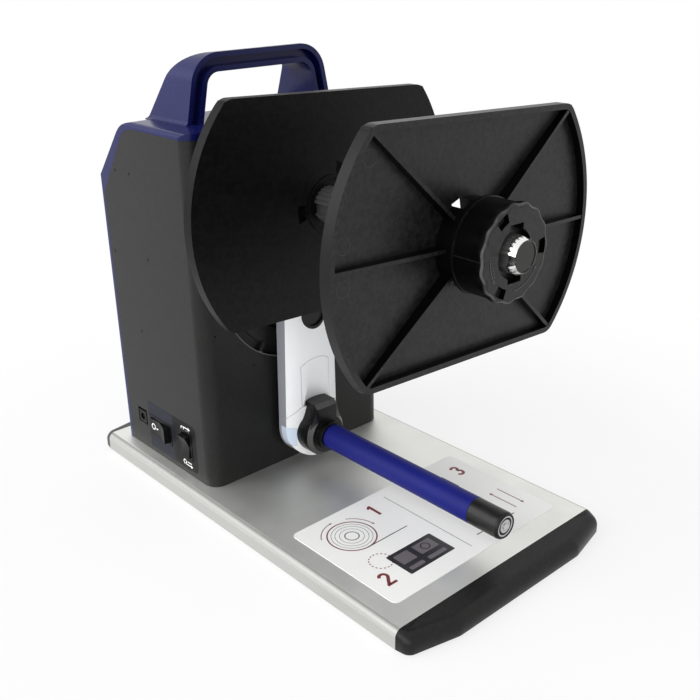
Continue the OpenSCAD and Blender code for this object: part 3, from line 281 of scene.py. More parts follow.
class Finish:
    """A node tree being written: a material's, or the world's."""

    def __init__(self, tree):
        self.tree = tree
        tree.nodes.clear()

    def node(self, kind, settings=None, inputs=None, out=0):
        made = self.tree.nodes.new(kind)
        for key, value in (settings or {}).items():
            setattr(made, key, value)
        pairs = enumerate(inputs) if isinstance(inputs, (list, tuple)) else (inputs or {}).items()
        for key, value in pairs:
            self.feed(made.inputs[key], value)
        return Wire(self, made.outputs[out]) if made.outputs else None

    def feed(self, socket, value):
        if isinstance(value, Wire):
            self.tree.links.new(value.socket, socket)
        else:
            socket.default_value = value

    def mix(self, factor, a, b):
        """Colour a where factor is 0, and b where it is 1."""
        a, b = ((*v, 1) if isinstance(v, tuple) else v for v in (a, b))
        return self.node("ShaderNodeMix", {"data_type": "RGBA"}, {0: factor, 6: a, 7: b}, out=2)

    def drifting(self, slow, colour, by):
        """The colour a share darker and paler, as a slow noise says."""
        return self.mix(slow.ramp(0.25, 0.75), shade(colour, 1 - by), shade(colour, 1 + by))

    def spot(self):
        """Where a point is, in millimetres, in the part's frame."""
        place = self.node("ShaderNodeTexCoord", out="Object")
        return self.node("ShaderNodeVectorMath", {"operation": "SCALE"}, {"Vector": place, "Scale": 1 / MM})

    def stretch(self, spot, scale):
        return self.node("ShaderNodeVectorMath", {"operation": "MULTIPLY"}, [spot, scale])

    def distance(self, spot, place):
        return self.node("ShaderNodeVectorMath", {"operation": "DISTANCE"}, [spot, place], out="Value")

    def axis(self, spot, index):
        return self.node("ShaderNodeSeparateXYZ", None, [spot], out=index)

    def facing(self, index=1):
        """1 where the face looks along an axis, the spindle's unless told, and 0 on the walls around it."""
        return abs(self.axis(self.node("ShaderNodeTexCoord", out="Normal"), index))

    def noise(self, spot, scale, detail=2.0, rough=0.5):
        return self.node(
            "ShaderNodeTexNoise", None,
            {"Vector": spot, "Scale": scale, "Detail": detail, "Roughness": rough},
        )

    def specks(self, spot, scale):
        return self.node("ShaderNodeTexVoronoi", {"feature": "F1"}, {"Vector": spot, "Scale": scale})

    def seen(self):
        """1 for what the camera sees, straight, in a gloss or through something clear."""
        straight = self.node("ShaderNodeLightPath", out="Is Camera Ray")
        gloss = self.node("ShaderNodeLightPath", out="Is Glossy Ray")
        clear = self.node("ShaderNodeLightPath", out="Is Transmission Ray")
        return straight.high(gloss).high(clear)

    def bump(self, height, distance):
        """distance is the relief in millimetres."""
        return self.node("ShaderNodeBump", None, {"Height": height, "Distance": distance * MM})

    def background(self, strength):
        return self.node("ShaderNodeBackground", None, {"Color": WHITE, "Strength": strength})


def material(name, build):
    """A material whose build function returns the sockets of its shader."""
    made = bpy.data.materials.new(name)
    made.use_nodes = True
    finish = Finish(made.node_tree)
    shader = finish.node("ShaderNodeBsdfPrincipled", None, build(finish))
    finish.node("ShaderNodeOutputMaterial", None, {"Surface": shader})
    return made


def shade(colour, by):
    return tuple(min(1.0, c * by) for c in colour)


def moulded(name, colour, rough, grain, relief, drift=0.12, gloss=0.5, metal=0.0, dust=0.0, mottle=0.0,
            touch=None):
    """Moulded plastic: a fine spark grain, slow drifts of tone, small blotches and a little dust."""

    def build(f):
        spot = f.spot()
        fine = f.noise(spot, grain, 3, 0.6)
        slow = f.noise(spot, PLASTIC_DRIFT, 3)
        tone = f.drifting(slow, colour, drift)
        height = fine
        if mottle:
            blotches = f.noise(spot, BLOTCHES, 4, 0.75).ramp(0.42, 0.58)
            tone = f.mix(blotches * mottle, tone, shade(colour, 0.25))
        if dust:
            motes = f.specks(spot, DUST_MOTES) < 0.09
            gathered = f.noise(spot, DUST_PATCHES, 2).ramp(0.5, 0.75)
            tone = f.mix(motes * gathered * dust, tone, DUST_GREY)
        own = {}
        if touch:
            tone, height, own = touch(f, spot, tone, height)
        return {
            "Base Color": tone,
            "Metallic": metal,
            "Specular IOR Level": gloss,
            "Roughness": rough + (fine - 0.5) * 0.16 + (slow - 0.5) * 0.12,
            "Normal": f.bump(height, relief),
            **own,
        }

    return material(name, build)


def brushed(name, colour, rough, lines=(3.0, 0.03, 3.0), relief=0.004, touch=None):
    """Metal with fine drawn lines along the axis whose scale is small."""

    def build(f):
        spot = f.spot()
        drawn = f.noise(f.stretch(spot, lines), 1.0, 4, 0.65)
        slow = f.noise(spot, METAL_DRIFT, 3)
        tone = f.drifting(slow, colour, 0.06)
        height = drawn
        if touch:
            tone, height = touch(f, spot, tone, height)
        return {
            "Base Color": tone,
            "Metallic": 1.0,
            "Roughness": rough + (drawn - 0.5) * 0.14 + (slow - 0.5) * 0.08,
            "Normal": f.bump(height, relief),
        }

    return material(name, build)


def housing_specks(f, spot, tone, height):
    """Small dents in the housing's skin coloured near-black, and a lighter ring painted on the well's lip: a
    painted highlight.
    """
    side, front = f.stretch(spot, (0, 1, 1)), f.stretch(spot, (1, 0, 1))
    right_half = (f.axis(spot, 0) > 0) * OUT_OF_REACH
    rear_half = (f.axis(spot, 1) > FRONT_SPECKS_Y) * OUT_OF_REACH
    away = [f.distance(side, (0, y, z)) - SIDE_SPECK_MORE + right_half for y, z in SIDE_SPECKS]
    away += [f.distance(front, (x, 0, z)) + rear_half for x, z in FRONT_SPECKS]
    pits = 1 - reduce(Wire.low, away).ramp(*SPECK_EDGE)
    # A lighter ring painted along the well's lip: a painted highlight
    lip = 1 - abs(f.distance(front, (0, 0, PIVOT_Z)) - WELL_R).ramp(*WELL_LIP_EDGE)
    tone = f.mix((f.axis(spot, 1) < WELL_LIP_Y) * lip, tone, LIP_HIGHLIGHT_GREY)
    return f.mix(pits, tone, PIT_BLACK), height - pits * SPECK_DEEP, {"Metallic": pits}


def pin_marks_and_wall_shade(f, spot, tone, height):
    """Faint rings that the mould's ejector pins left on the flange, and its glossy walls coloured darker
    than its faces: painted shade.
    """
    flat = f.stretch(spot, (1, 0, 1))
    away = [abs(f.distance(flat, (x, 0, AXIS_Z + z)) - PIN_R) for x, z in PIN_MARKS]
    rings = 1 - reduce(Wire.low, away).ramp(*PIN_EDGE)
    tone = f.mix(rings * 0.35, tone, PIN_GREY)
    round_rim = f.distance(flat, (0, 0, AXIS_Z)).ramp(FLANGE_R - 2, FLANGE_R - 1.2)
    flat_rim = abs(f.axis(spot, 2) - AXIS_Z).ramp(FLANGE_FLAT - 1.2, FLANGE_FLAT - 0.6)
    inside = (1 - round_rim) * (1 - flat_rim)
    # Walls coloured darker than the faces: painted shade
    wall = 1 - f.facing().ramp(0.3, 0.6)
    tone = f.mix(wall, tone, FLANGE_WALL_SHADE)
    return tone, height + rings * 2, {"Metallic": wall * (0.45 + 0.25 * inside)}


def edge_highlight(f, spot, tone, height):
    """Glossy walls around a face, and a lighter line painted where they meet it: a painted highlight along
    the rounded edge.
    """
    facing = f.facing()
    # A lighter line painted on the rounded edge: a painted highlight
    lit_line = facing.ramp(0.25, 0.5) * (1 - facing.ramp(0.8, 0.97))
    wall = 1 - facing.ramp(0.2, 0.4)
    return f.mix(lit_line, tone, EDGE_HIGHLIGHT_GREY), height, {"Metallic": wall * 0.5}


def knob_grip(f, spot, tone, height):
    """The knob's polished grip, coloured darker than its textured face as painted shade; its mould seam
    painted lighter on the left side only, and a lighter line painted in patches between grip and face:
    painted highlights.
    """
    facing = f.facing()
    patchy = f.noise(spot, HIGHLIGHT_PATCHES, 2).ramp(0.3, 0.65)
    # A lighter line painted on the rounded rim, broken into patches: a painted highlight
    lit_line = facing.ramp(0.3, 0.5) * (1 - facing.ramp(0.85, 0.97)) * patchy
    # The grip coloured darker than the face: painted shade
    grip = 1 - facing.ramp(0.25, 0.5)
    tone = f.mix(grip, tone, GRIP_SHADE_BLACK)
    # The mould seam painted lighter on the left side only: a painted highlight
    level = 1 - abs(f.axis(spot, 2) - AXIS_Z - KNOB_SEAM_UP).ramp(0.1, 0.3)
    lit_seam = level * (f.axis(spot, 0) < KNOB_SEAM_X) * grip
    tone = f.mix(lit_line.high(lit_seam * 0.3), tone, KNOB_HIGHLIGHT_GREY)
    return tone, height, {"Metallic": grip * 0.8 * (1 - lit_seam * 0.5)}


def panel_halves(f, spot, tone, height):
    """The panel's rear half is a paler blue grey than its front half."""
    rear = f.axis(spot, 1).ramp(PANEL_SPLIT - 0.15, PANEL_SPLIT + 0.15)
    line = 1 - abs(f.axis(spot, 1) - PANEL_SPLIT).ramp(0.2, 0.5)
    tone = f.mix(rear, tone, PANEL_REAR_BLUE)
    return tone, height - line * 2, {"Metallic": (1 - rear) * 0.45}


def cover_sides(f, spot, tone, height):
    """The arm covers' side walls, coloured a darker blue grey than their painted fronts: painted shade."""
    # Side walls coloured darker than the fronts: painted shade
    return f.mix(f.facing().ramp(0.25, 0.55), COVER_SIDE_SHADE_GREY, tone), height, {}


def plate_sides(f, spot, tone, height):
    """The extrusion's sides and rounded edges, coloured darker than its brushed top: painted shade."""
    up = f.facing(2)
    # Sides and rounded edges coloured darker by which way they face: painted shade
    sides = f.mix(up.ramp(0.15, 0.5), shade(PLATE_COLOUR, 0.7), shade(PLATE_COLOUR, 0.42))
    return f.mix(up.ramp(0.93, 0.999), sides, tone), height


def tip_face(f, spot, tone, height):
    """Sawn end face, dark against the bright chamfer, with turning marks."""
    away = f.distance(f.stretch(spot, (1, 0, 1)), (0, 0, AXIS_Z))
    foremost = 1 - f.axis(spot, 1).ramp(TIP_FACE + 0.6, TIP_FACE + 0.7)
    face = foremost * (1 - away.ramp(TIP_FACE_R, TIP_FACE_R + 0.1))
    turned = f.noise(f.node("ShaderNodeCombineXYZ", None, [away * TURNING_MARKS, 0.0, 0.0]), 1.0, 2)
    return f.mix(face, tone, SAWN_GREY), height * (1 - face) + turned * face


# Plastics: name, colour, roughness, grain per millimetre and its relief, then the drift of their tone
HOUSING_BLACK = moulded("housing_black", (0.012, 0.0122, 0.0117), 0.42, 1.5, 0.018, gloss=0.24, dust=0.12,
                        mottle=0.3, touch=housing_specks)
NAVY = moulded("navy_cover", (0.005, 0.007, 0.07), 0.26, 0.9, 0.004, 0.1, gloss=0.24)
CAP_BLACK = moulded("end_cap_black", (0.009, 0.009, 0.0087), 0.34, 1.8, 0.014, gloss=0.24, mottle=0.5)
MOUNT_BLACK = moulded("mount_black", (0.005, 0.005, 0.005), 0.28, 1.6, 0.01, gloss=0.34, touch=edge_highlight)
INNER_BLACK = moulded("inner_flange_black", (0.0045, 0.0045, 0.0045), 0.4, 1.1, 0.012, gloss=0.16,
                      mottle=0.9, touch=edge_highlight)
OUTER_BLACK = moulded("outer_flange_black", (0.012, 0.012, 0.012), 0.38, 1.1, 0.012, gloss=0.3,
                      mottle=0.8, touch=pin_marks_and_wall_shade)
KNOB_BLACK = moulded("knob_black", (0.017, 0.017, 0.0166), 0.38, 1.4, 0.02, gloss=0.26, mottle=0.5,
                     touch=knob_grip)
SWITCH_BLACK = moulded("switch_black", (0.004, 0.004, 0.0045), 0.36, 1.2, 0.008, gloss=0.13)
PANEL_GREY = moulded("panel_grey", (0.0075, 0.0075, 0.0073), 0.48, 1.8, 0.015, gloss=0.16,
                     touch=panel_halves)
SPINDLE_GREY = moulded("spindle_grey", (0.06, 0.061, 0.059), 0.4, 1.2, 0.01)
RUBBER = moulded("foot_rubber", (0.015, 0.015, 0.015), 0.75, 1.2, 0.03)
SILVER = moulded("arm_silver", (0.92, 0.93, 0.945), 0.4, 1.8, 0.004, 0.02, metal=0.2, touch=cover_sides)
TAB = moulded("tab_pale_blue", (0.66, 0.76, 0.9), 0.3, 1.4, 0.004, 0.03, metal=0.1)
BLUE = moulded("roller_blue", (0.006, 0.009, 0.135), 0.5, 1.2, 0.012, 0.08, gloss=0.14)
LABEL = moulded("label_white", (0.82, 0.82, 0.805), 0.4, 2.2, 0.002, 0.02)
BOARD = moulded("board_green", (0.02, 0.12, 0.05), 0.45, 1.0, 0.006)
PRINT_RED = moulded("print_red", (0.16, 0.02, 0.024), 0.45, 2.0, 0.002, 0.08)
PRINT_BLACK = moulded("print_black", (0.012, 0.011, 0.013), 0.4, 2.0, 0.002, 0.1)
PRINT_GREY = moulded("print_grey", (0.12, 0.11, 0.12), 0.45, 2.0, 0.002, 0.1)
MARK_WHITE = moulded("mark_white", (0.85, 0.85, 0.84), 0.5, 2.0, 0.002, 0.03)
MARK_BLACK = moulded("raised_mark_black", (0.03, 0.03, 0.03), 0.35, 1.4, 0.006)

# Metals: name, colour, roughness, scale of the drawn lines along each axis, and their relief
PLATE = brushed("plate_aluminium", PLATE_COLOUR, 0.52, touch=plate_sides)
STEEL = brushed("bright_steel", (0.55, 0.55, 0.56), 0.3)
TURNED = brushed("turned_aluminium", (0.85, 0.85, 0.86), 0.25, (2.0, 2.0, 2.0), 0.003)
TIP = brushed("spindle_tip_aluminium", (0.88, 0.88, 0.87), 0.26, (2.0, 2.0, 2.0), 0.004, touch=tip_face)
BRONZE = brushed("bush_bronze", (0.5, 0.33, 0.14), 0.35)

# Finishes, the width of the rounded edges, and the solids that have them
DRESSED = (
    (PLATE, 0.4, "base_plate"),
    (CAP_BLACK, 2.6, "front_end_cap rear_end_cap"),
    (CAP_BLACK, 0.4, "arm_hub arm_cap roller_end_cap"),
    (RUBBER, 0.3, "rubber_feet"),
    (LABEL, 0.0, "instruction_label"),
    (HOUSING_BLACK, 0.8, "front_cover"),
    (NAVY, 1.2, "rear_cover"),
    (PANEL_GREY, 0.1, "switch_panel"),
    (SWITCH_BLACK, 0.5, "power_rocker direction_rocker"),
    (SWITCH_BLACK, 0.3, "power_switch_frame direction_switch_frame dc_jack"),
    (SWITCH_BLACK, 0.2, "board_components"),
    (SWITCH_BLACK, 0.1, "bearing_seals"),
    (SWITCH_BLACK, 0.0, "tension_sensor"),
    (BOARD, 0.0, "circuit_board"),
    (SPINDLE_GREY, 0.4, "spindle_hub"),
    (SPINDLE_GREY, 0.15, "spindle_core"),
    (SPINDLE_GREY, 0.0, "spindle_gear"),
    (TIP, 0.1, "spindle_tip"),
    (INNER_BLACK, 0.6, "inner_flange"),
    (OUTER_BLACK, 0.6, "outer_flange"),
    (KNOB_BLACK, 0.7, "lock_knob"),
    (SILVER, 0.5, "arm_cover arm_lower_cover"),
    (TAB, 0.15, "arm_tabs"),
    (MOUNT_BLACK, 1.6, "roller_mount"),
    (BLUE, 0.3, "roller_sleeve"),
    (TURNED, 0.0, "front_bearing_housing rear_bearing_housing"),
    (BRONZE, 0.0, "drive_pinion arm_bush"),
    (STEEL, 0.3, "gearbox motor roller_shaft"),
    (STEEL, 0.2, "cover_screws stop_pin bearing_inner_rings bearing_outer_rings"),
    (STEEL, 0.0, "base_screws cover_post_screws board_standoffs chassis gear_plate plate_standoffs"),
    (STEEL, 0.0, "plate_screws bearing_screws spindle_bearings motor_shaft spindle_shaft hub_screws"),
    (STEEL, 0.0, "knob_retainer arm_spring arm_shaft arm_plate"),
)


def dress_solids():
    for finish, edge, names in DRESSED:
        for solid in (nodes[name] for name in names.split()):
            solid.data.materials.clear()
            solid.data.materials.append(finish)
            if edge:
                soften(solid, edge, CAP_ANGLE if finish in (CAP_BLACK, NAVY) else EDGE_ANGLE)


def soften(solid, edge, angle):
    """Joins the solid's faces, rounds its edges a little and lets the flats keep their shading."""
    weld = solid.modifiers.new("join", "WELD")
    weld.merge_threshold = WELD * MM
    bevel = solid.modifiers.new("round", "BEVEL")
    bevel.width = edge * MM
    bevel.segments = 2 if edge < WIDE_EDGE else 4
    bevel.limit_method = "ANGLE"
    bevel.angle_limit = angle
    bevel.use_clamp_overlap = True
    flat = solid.modifiers.new("flats", "WEIGHTED_NORMAL")
    flat.keep_sharp = False


class Sheet:
    """Thin closed bodies drawn on a face: put takes (across, up, out) in millimetres to the part's frame."""

    def __init__(self, put, levels, mesh=None):
        self.put = put
        self.levels = levels
        self.mesh = mesh or bmesh.new()

    def corners(self, points):
        return [
            [self.mesh.verts.new(self.put(u, v, level) * MM) for u, v in points]
            for level in self.levels
        ]

    def face(self, corners, finish):
        self.mesh.faces.new(corners).material_index = finish

    def patch(self, points, finish=0):
        """A filled outline."""
        low, high = self.corners(points)
        self.face(high, finish)
        self.face(low[::-1], finish)
        for i in range(len(points)):
            self.face([low[i - 1], low[i], high[i], high[i - 1]], finish)

    def stroke(self, points, width, finish=0, closed=False):
        """A line of even width through the points."""
        count = len(points)
        left, right = [], []
        for i, (u, v) in enumerate(points):
            before = points[i - 1] if closed or i else points[0]
            after = points[(i + 1) % count] if closed or i < count - 1 else points[-1]
            along = Vector((after[0] - before[0], after[1] - before[1])).normalized()
            out = Vector((-along.y, along.x)) * width / 2
            left.append((u + out.x, v + out.y))
            right.append((u - out.x, v - out.y))
        left_low, left_high = self.corners(left)
        right_low, right_high = self.corners(right)
        for i in range(0 if closed else 1, count):
            self.face([left_high[i - 1], right_high[i - 1], right_high[i], left_high[i]], finish)
            self.face([left_low[i - 1], left_low[i], right_low[i], right_low[i - 1]], finish)
            self.face([left_low[i - 1], left_high[i - 1], left_high[i], left_low[i]], finish)
            self.face([right_low[i - 1], right_low[i], right_high[i], right_high[i - 1]], finish)
        if not closed:
            for i in (0, count - 1):
                self.face([left_low[i], right_low[i], right_high[i], left_high[i]], finish)

    def ring(self, at, radius, width, steps, finish=0):
        self.stroke(arc(at, radius, 0, 360 - 360 / steps, steps), width, finish, closed=True)

    def head(self, foot, way, length, half, finish):
        """The pointed head of an arrow, from the middle of its foot along way."""
        side = Vector((-way.y, way.x)) * half
        points = (foot + way * length, foot + side, foot - side)
        self.patch([tuple(point) for point in points], finish)

    def arrow(self, tail, head, width, finish=0):
        """A straight line with a pointed head."""
        way = (Vector(head) - Vector(tail)).normalized()
        neck = Vector(head) - way * width * HEAD_L
        self.stroke([tail, tuple(neck + way * 0.1)], width, finish)
        self.head(neck, way, width * HEAD_L, width * HEAD_HALF, finish)

    def bent_arrow(self, at, radius, start, end, width, finish=0):
        """An arc with a pointed head at its end."""
        self.stroke(arc(at, radius, start, end, 20), width, finish)
        along = math.radians(end + (90 if end > start else -90))
        way = Vector((math.cos(along), math.sin(along)))
        foot = Vector(arc(at, radius, end, end, 1)[0])
        self.head(foot, way, width * BENT_HEAD_L, width * HEAD_HALF, finish)

    def number(self, value, at, tall, finish=0):
        """1, 2 or 3 in a plain even line, drawn one unit tall and then sized."""
        width = tall * 0.17

        def to(points):
            return [(at[0] + (u - 0.3) * tall, at[1] + (v - 0.5) * tall) for u, v in points]

        if value == 1:
            self.patch(to([(0.26, 0.0), (0.43, 0.0), (0.43, 1.0), (0.29, 1.0), (0.1, 0.84), (0.16, 0.72),
                           (0.26, 0.79)]), finish)
        elif value == 2:
            bow = arc((0.3, 0.7), 0.215, 165, -35, 16)
            self.stroke(to(bow + [(0.3, 0.36), (0.12, 0.12)]), width, finish)
            self.patch(to([(0.0, 0.0), (0.6, 0.0), (0.6, 0.16), (0.0, 0.16)]), finish)
        else:
            self.stroke(to(arc((0.29, 0.73), 0.185, 160, -90, 16)), width, finish)
            self.stroke(to(arc((0.29, 0.3), 0.215, 90, -160, 18)), width, finish)

    def piece(self, name, finishes, body, slot):
        bmesh.ops.recalc_face_normals(self.mesh, faces=self.mesh.faces)
        add_piece(name, self.mesh, finishes, body)


def add_piece(name, made, finishes, body):
    mesh = bpy.data.meshes.new(name)
    made.to_mesh(mesh)
    made.free()
    for finish in finishes:
        mesh.materials.append(finish)
    piece = bpy.data.objects.new(name, mesh)
    bpy.context.scene.collection.objects.link(piece)
    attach(piece, body)
    return piece


def arc(at, radius, start, end, steps):
    """Points along an arc, its angles in degrees."""
    step = (end - start) / max(steps - 1, 1)
    angles = [math.radians(start + i * step) for i in range(steps)]
    return [(at[0] + radius * math.cos(a), at[1] + radius * math.sin(a)) for a in angles]


def soft_box(at, wide, tall, round_by):
    """Outline of a box with rounded corners."""
    x, y = wide / 2 - round_by, tall / 2 - round_by
    points = []
    for sx, sy, start in ((1, 1, 0), (-1, 1, 90), (-1, -1, 180), (1, -1, 270)):
        points += arc((at[0] + sx * x, at[1] + sy * y), round_by, start, start + 90, 5)
    return points


def print_label():
    """Plain numbers and simple pictures of a roll, a switch and a roller on the label."""
    low, high = in_mm(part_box("instruction_label"))
    middle = (low + high) / 2

    def put(u, v, out):
        return Vector((middle.x + u, middle.y + v, high.z + out))

    red, black, grey = 0, 1, 2
    line, tall, corner, key_corner = 0.9, 15, 1.2, 0.9
    sheet = Sheet(put, INK)
    over = Sheet(put, OVERPRINT, sheet.mesh)
    sheet.stroke([(0, 47), (0, -47)], 0.5, grey)

    # Upper left: the roll, its windings and the way it turns
    roll, roll_r, turn_r = (-56, 24), 19, 23.5
    sheet.number(1, (-20, 38), tall, red)
    sheet.ring(roll, roll_r, 1.1, 64, red)
    sheet.ring(roll, 5.5, 0.8, 32, black)
    for radius in (9.5, 13, 16):
        sheet.ring(roll, radius, 0.35, 56, black)
    sheet.stroke([(roll[0], roll[1] - roll_r), (-16, roll[1] - roll_r)], line, black)
    sheet.bent_arrow(roll, turn_r, 150, 95, 0.7, red)
    sheet.bent_arrow(roll, turn_r, 60, 5, 0.7, red)

    # Lower left: the switches, with a ring of dashes
    block = (-34, -27)
    sheet.number(2, (-74, -32), tall, red)
    sheet.patch(soft_box(block, 46, 27, corner), black)
    for u, v, wide, high_by in ((-12, 4, 14, 12), (9, 4, 18, 12), (-12, -8.5, 14, 4), (9, -8.5, 18, 4)):
        over.patch(soft_box((block[0] + u, block[1] + v), wide, high_by, key_corner), grey)
    over.ring((block[0] + 9, block[1] + 4), 3.6, 0.7, 28, red)
    for turn in range(0, 360, 20):
        sheet.stroke(arc((-62, -14), 9, turn, turn + 10, 4), line, red)

    # Right: a switch, and the roller as a wheel on its web
    wheel, spoke_from, spoke_to = (40, -16), 3.1, 12.4
    sheet.number(3, (74, 34), tall, red)
    sheet.ring(wheel, 13, 1.0, 56, red)
    sheet.ring(wheel, 2.6, 0.8, 24, black)
    for turn in range(15, 375, 60):
        way = Vector((math.cos(math.radians(turn)), math.sin(math.radians(turn))))
        spoke = [tuple(Vector(wheel) + way * reach) for reach in (spoke_from, spoke_to)]
        sheet.stroke(spoke, 0.45, black)
    sheet.patch(soft_box((40, 26), 34, 20, corner), black)
    over.patch(soft_box((34, 26), 14, 12, key_corner), grey)
    over.patch(soft_box((50, 26), 8, 12, key_corner), grey)
    sheet.arrow((66, -36), (66, -8), line, red)
    sheet.arrow((76, -8), (76, -36), line, red)
    sheet.stroke([(14, -40), (58, -40)], line, black)
    sheet.piece("label_print", [PRINT_RED, PRINT_BLACK, PRINT_GREY], "base", "label")


def surface_at(name, start, way):
    """Where a line from start meets a solid, and the face's direction there, in millimetres."""
    hit, place, normal, _ = nodes[name].ray_cast(Vector(start) * MM, Vector(way))
    assert hit, name
    return place / MM, normal


def mark_rocker():
    """A ring and a bar on the power rocker's sunk half."""
    low, high = in_mm(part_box("power_rocker"))
    level = (low.z + high.z) / 2
    ring_from_rear, well_outside = 4.6, 20
    start = (low.x - well_outside, high.y - ring_from_rear, level)
    place, normal = surface_at("power_rocker", start, (1, 0, 0))
    along = Vector((normal.y, -normal.x, 0)).normalized()

    def put(u, v, out):
        return place + along * u + Vector((0, 0, v)) + normal * out

    sheet = Sheet(put, PAINT)
    sheet.ring((0, 0), 2.5, 0.95, 32)
    forward = 1 if along.y < 0 else -1
    sheet.patch(soft_box((forward * 5.4, -0.9), 2.8, 1.1, 0.3))
    sheet.piece("power_marks", [MARK_WHITE], "power_rocker_body", "label")


def mark_panel():
    """Winding signs above and below the direction rocker: a roll with its web leaving on either side."""
    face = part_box("switch_panel")[0].x / MM
    low, high = in_mm(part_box("direction_rocker"))
    middle = (low.y + high.y) / 2
    deck = PLATE_HIGH.z

    def put(u, v, out):
        return Vector((face - out, middle - u, v))

    roll_at, roll_r, web_end = -4.4, 1.9, 7.4
    sheet = Sheet(put, PAINT)
    for height, side in zip(SIGN_HEIGHTS, (1, -1)):
        level = deck + height
        web = level + side * roll_r
        sheet.ring((roll_at, level), roll_r, 0.9, 24)
        sheet.arrow((roll_at, web), (web_end, web), 0.95)
        sheet.patch(soft_box((2.6, level - side * 0.9), 6.4, 0.9, 0.3))
    sheet.piece("panel_marks", [MARK_WHITE], "base", "label")


def mark_knob():
    """Two low raised turn arrows on the knob's face, between its pockets, and a row of ticks."""

    def put(u, v, out):
        return Vector((u, KNOB_LOW.y - out, AXIS_Z + v))

    sheet = Sheet(put, RAISED)
    for start, end in TURN_MARKS:
        sheet.bent_arrow((0, 0), TURN_MARK_R, start, end, 0.8)
    for turn in TURN_TICKS:
        sheet.stroke(arc((0, 0), TURN_TICK_R, turn, turn + 3, 4), 1.2)
    sheet.piece("knob_turn_marks", [MARK_BLACK], "lock_knob_body", "flange_plastic")


def knob_shell():
    """The lock knob with a rounded wavy rim, square pockets and a notched hole in its face."""
    ring_low, ring_high = in_mm(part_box("knob_retainer"))
    front, back = KNOB_LOW.y, KNOB_HIGH.y
    rim = (KNOB_HIGH.x - KNOB_LOW.x) / 2
    body = rim - KNOB_WAVE
    columns = KNOB_COLUMNS
    turns = [2 * math.pi * j / columns for j in range(columns)]
    made = bmesh.new()

    def row(radii, depth):
        return [
            made.verts.new(Vector((r * math.cos(a), depth, AXIS_Z + r * math.sin(a))) * MM)
            for r, a in zip(radii, turns)
        ]

    def even(radius, depth):
        return row([radius] * columns, depth)

    def hole_edge(a):
        """The hole in the face: round, with a square notch above and below."""
        notch = min(NOTCH_HALF / max(abs(math.cos(a)), TINY), NOTCH_R / max(abs(math.sin(a)), TINY))
        return max(HOLE_R, notch)

    # Rows of corners from the bore's back, over the rim and the face, to the ring's groove in the bore
    edge = [rim - KNOB_WAVE * (0.5 - 0.5 * math.cos(KNOB_LOBES * a)) for a in turns]
    rows = [even(KNOB_BORE, back), even(body - KNOB_BEVEL, back), even(body, back - KNOB_BEVEL),
            even(body, front + KNOB_SKIRT)]
    for depth, share in KNOB_FLARE:
        rows.append(row([body + (e - body) * share for e in edge], front + depth))
    for i in range(KNOB_ROUND_STEPS + 1):
        a = math.pi / 2 * i / KNOB_ROUND_STEPS
        rows.append(row([e - KNOB_ROUND * (1 - math.cos(a)) for e in edge],
                        front + KNOB_ROUND * (1 - math.sin(a))))
    outer = len(rows)
    rows += [even(POCKET_OUT, front), even(POCKET_IN, front)]
    hole = [hole_edge(a) for a in turns]
    rows += [row([r + KNOB_BEVEL for r in hole], front), row(hole, front + KNOB_BEVEL),
             row(hole, front + HOLE_DEEP), even(KNOB_BORE, front + HOLE_DEEP)]
    groove = ring_low.y - KNOB_GROOVE_PLAY, ring_high.y + KNOB_GROOVE_PLAY
    rows += [even(KNOB_BORE, groove[0]), even(KNOB_GROOVE_R, groove[0]),
             even(KNOB_GROOVE_R, groove[1]), even(KNOB_BORE, groove[1])]

    # Faces between the rows, left open where a pocket sinks into the face
    half = POCKET_HALF_COLUMNS
    pockets = [round(columns * turn / 360) for turn in POCKET_TURNS]
    sunk = {(p + k) % columns for p in pockets for k in range(1 - half, half + 1)}
    for i in range(len(rows)):
        near, far = rows[i], rows[(i + 1) % len(rows)]
        for j in range(columns):
            if i == outer and j in sunk:
                continue
            made.faces.new([near[j - 1], near[j], far[j], far[j - 1]])
    for p in pockets:
        across = [(p + k) % columns for k in range(-half, half + 1)]
        mouth = [rows[outer][j] for j in across] + [rows[outer + 1][j] for j in reversed(across)]
        sink(made, mouth, [v.co + Vector((0, POCKET_DEEP * MM, 0)) for v in mouth])
    finish_shell(made)
    piece = add_piece("lock_knob_shell", made, [KNOB_BLACK], "lock_knob_body")
    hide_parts("lock_knob")


def sink(made, mouth, floor_places):
    """Walls from a mouth's corners down to a floor."""
    floor = [made.verts.new(place) for place in floor_places]
    for k in range(len(mouth)):
        made.faces.new([mouth[k - 1], mouth[k], floor[k], floor[k - 1]])
    made.faces.new(floor)


def finish_shell(made):
    """Faces outward, smooth over gentle bends and crisp over sharp ones."""
    bmesh.ops.recalc_face_normals(made, faces=made.faces)
    for face in made.faces:
        face.smooth = True
    for line in made.edges:
        line.smooth = line.calc_face_angle(math.pi) < SHARP_ANGLE


def rounded_path(points):
    """Points of an open path whose inner corners (across, along, radius) are rounded."""
    path = [Vector(points[0])]
    for before, here, after in zip(points, points[1:], points[2:]):
        corner, radius = Vector(here[:2]), here[2]
        back = (Vector(before[:2]) - corner).normalized()
        on = (Vector(after[:2]) - corner).normalized()
        half = back.angle(on) / 2
        run = radius / math.tan(half)
        centre = corner + (back + on).normalized() * radius / math.sin(half)
        start, end = corner + back * run - centre, corner + on * run - centre
        for i in range(BEND_STEPS + 1):
            path.append(centre + start.slerp(end, i / BEND_STEPS) * radius)
    path.append(Vector(points[-1]))
    return path


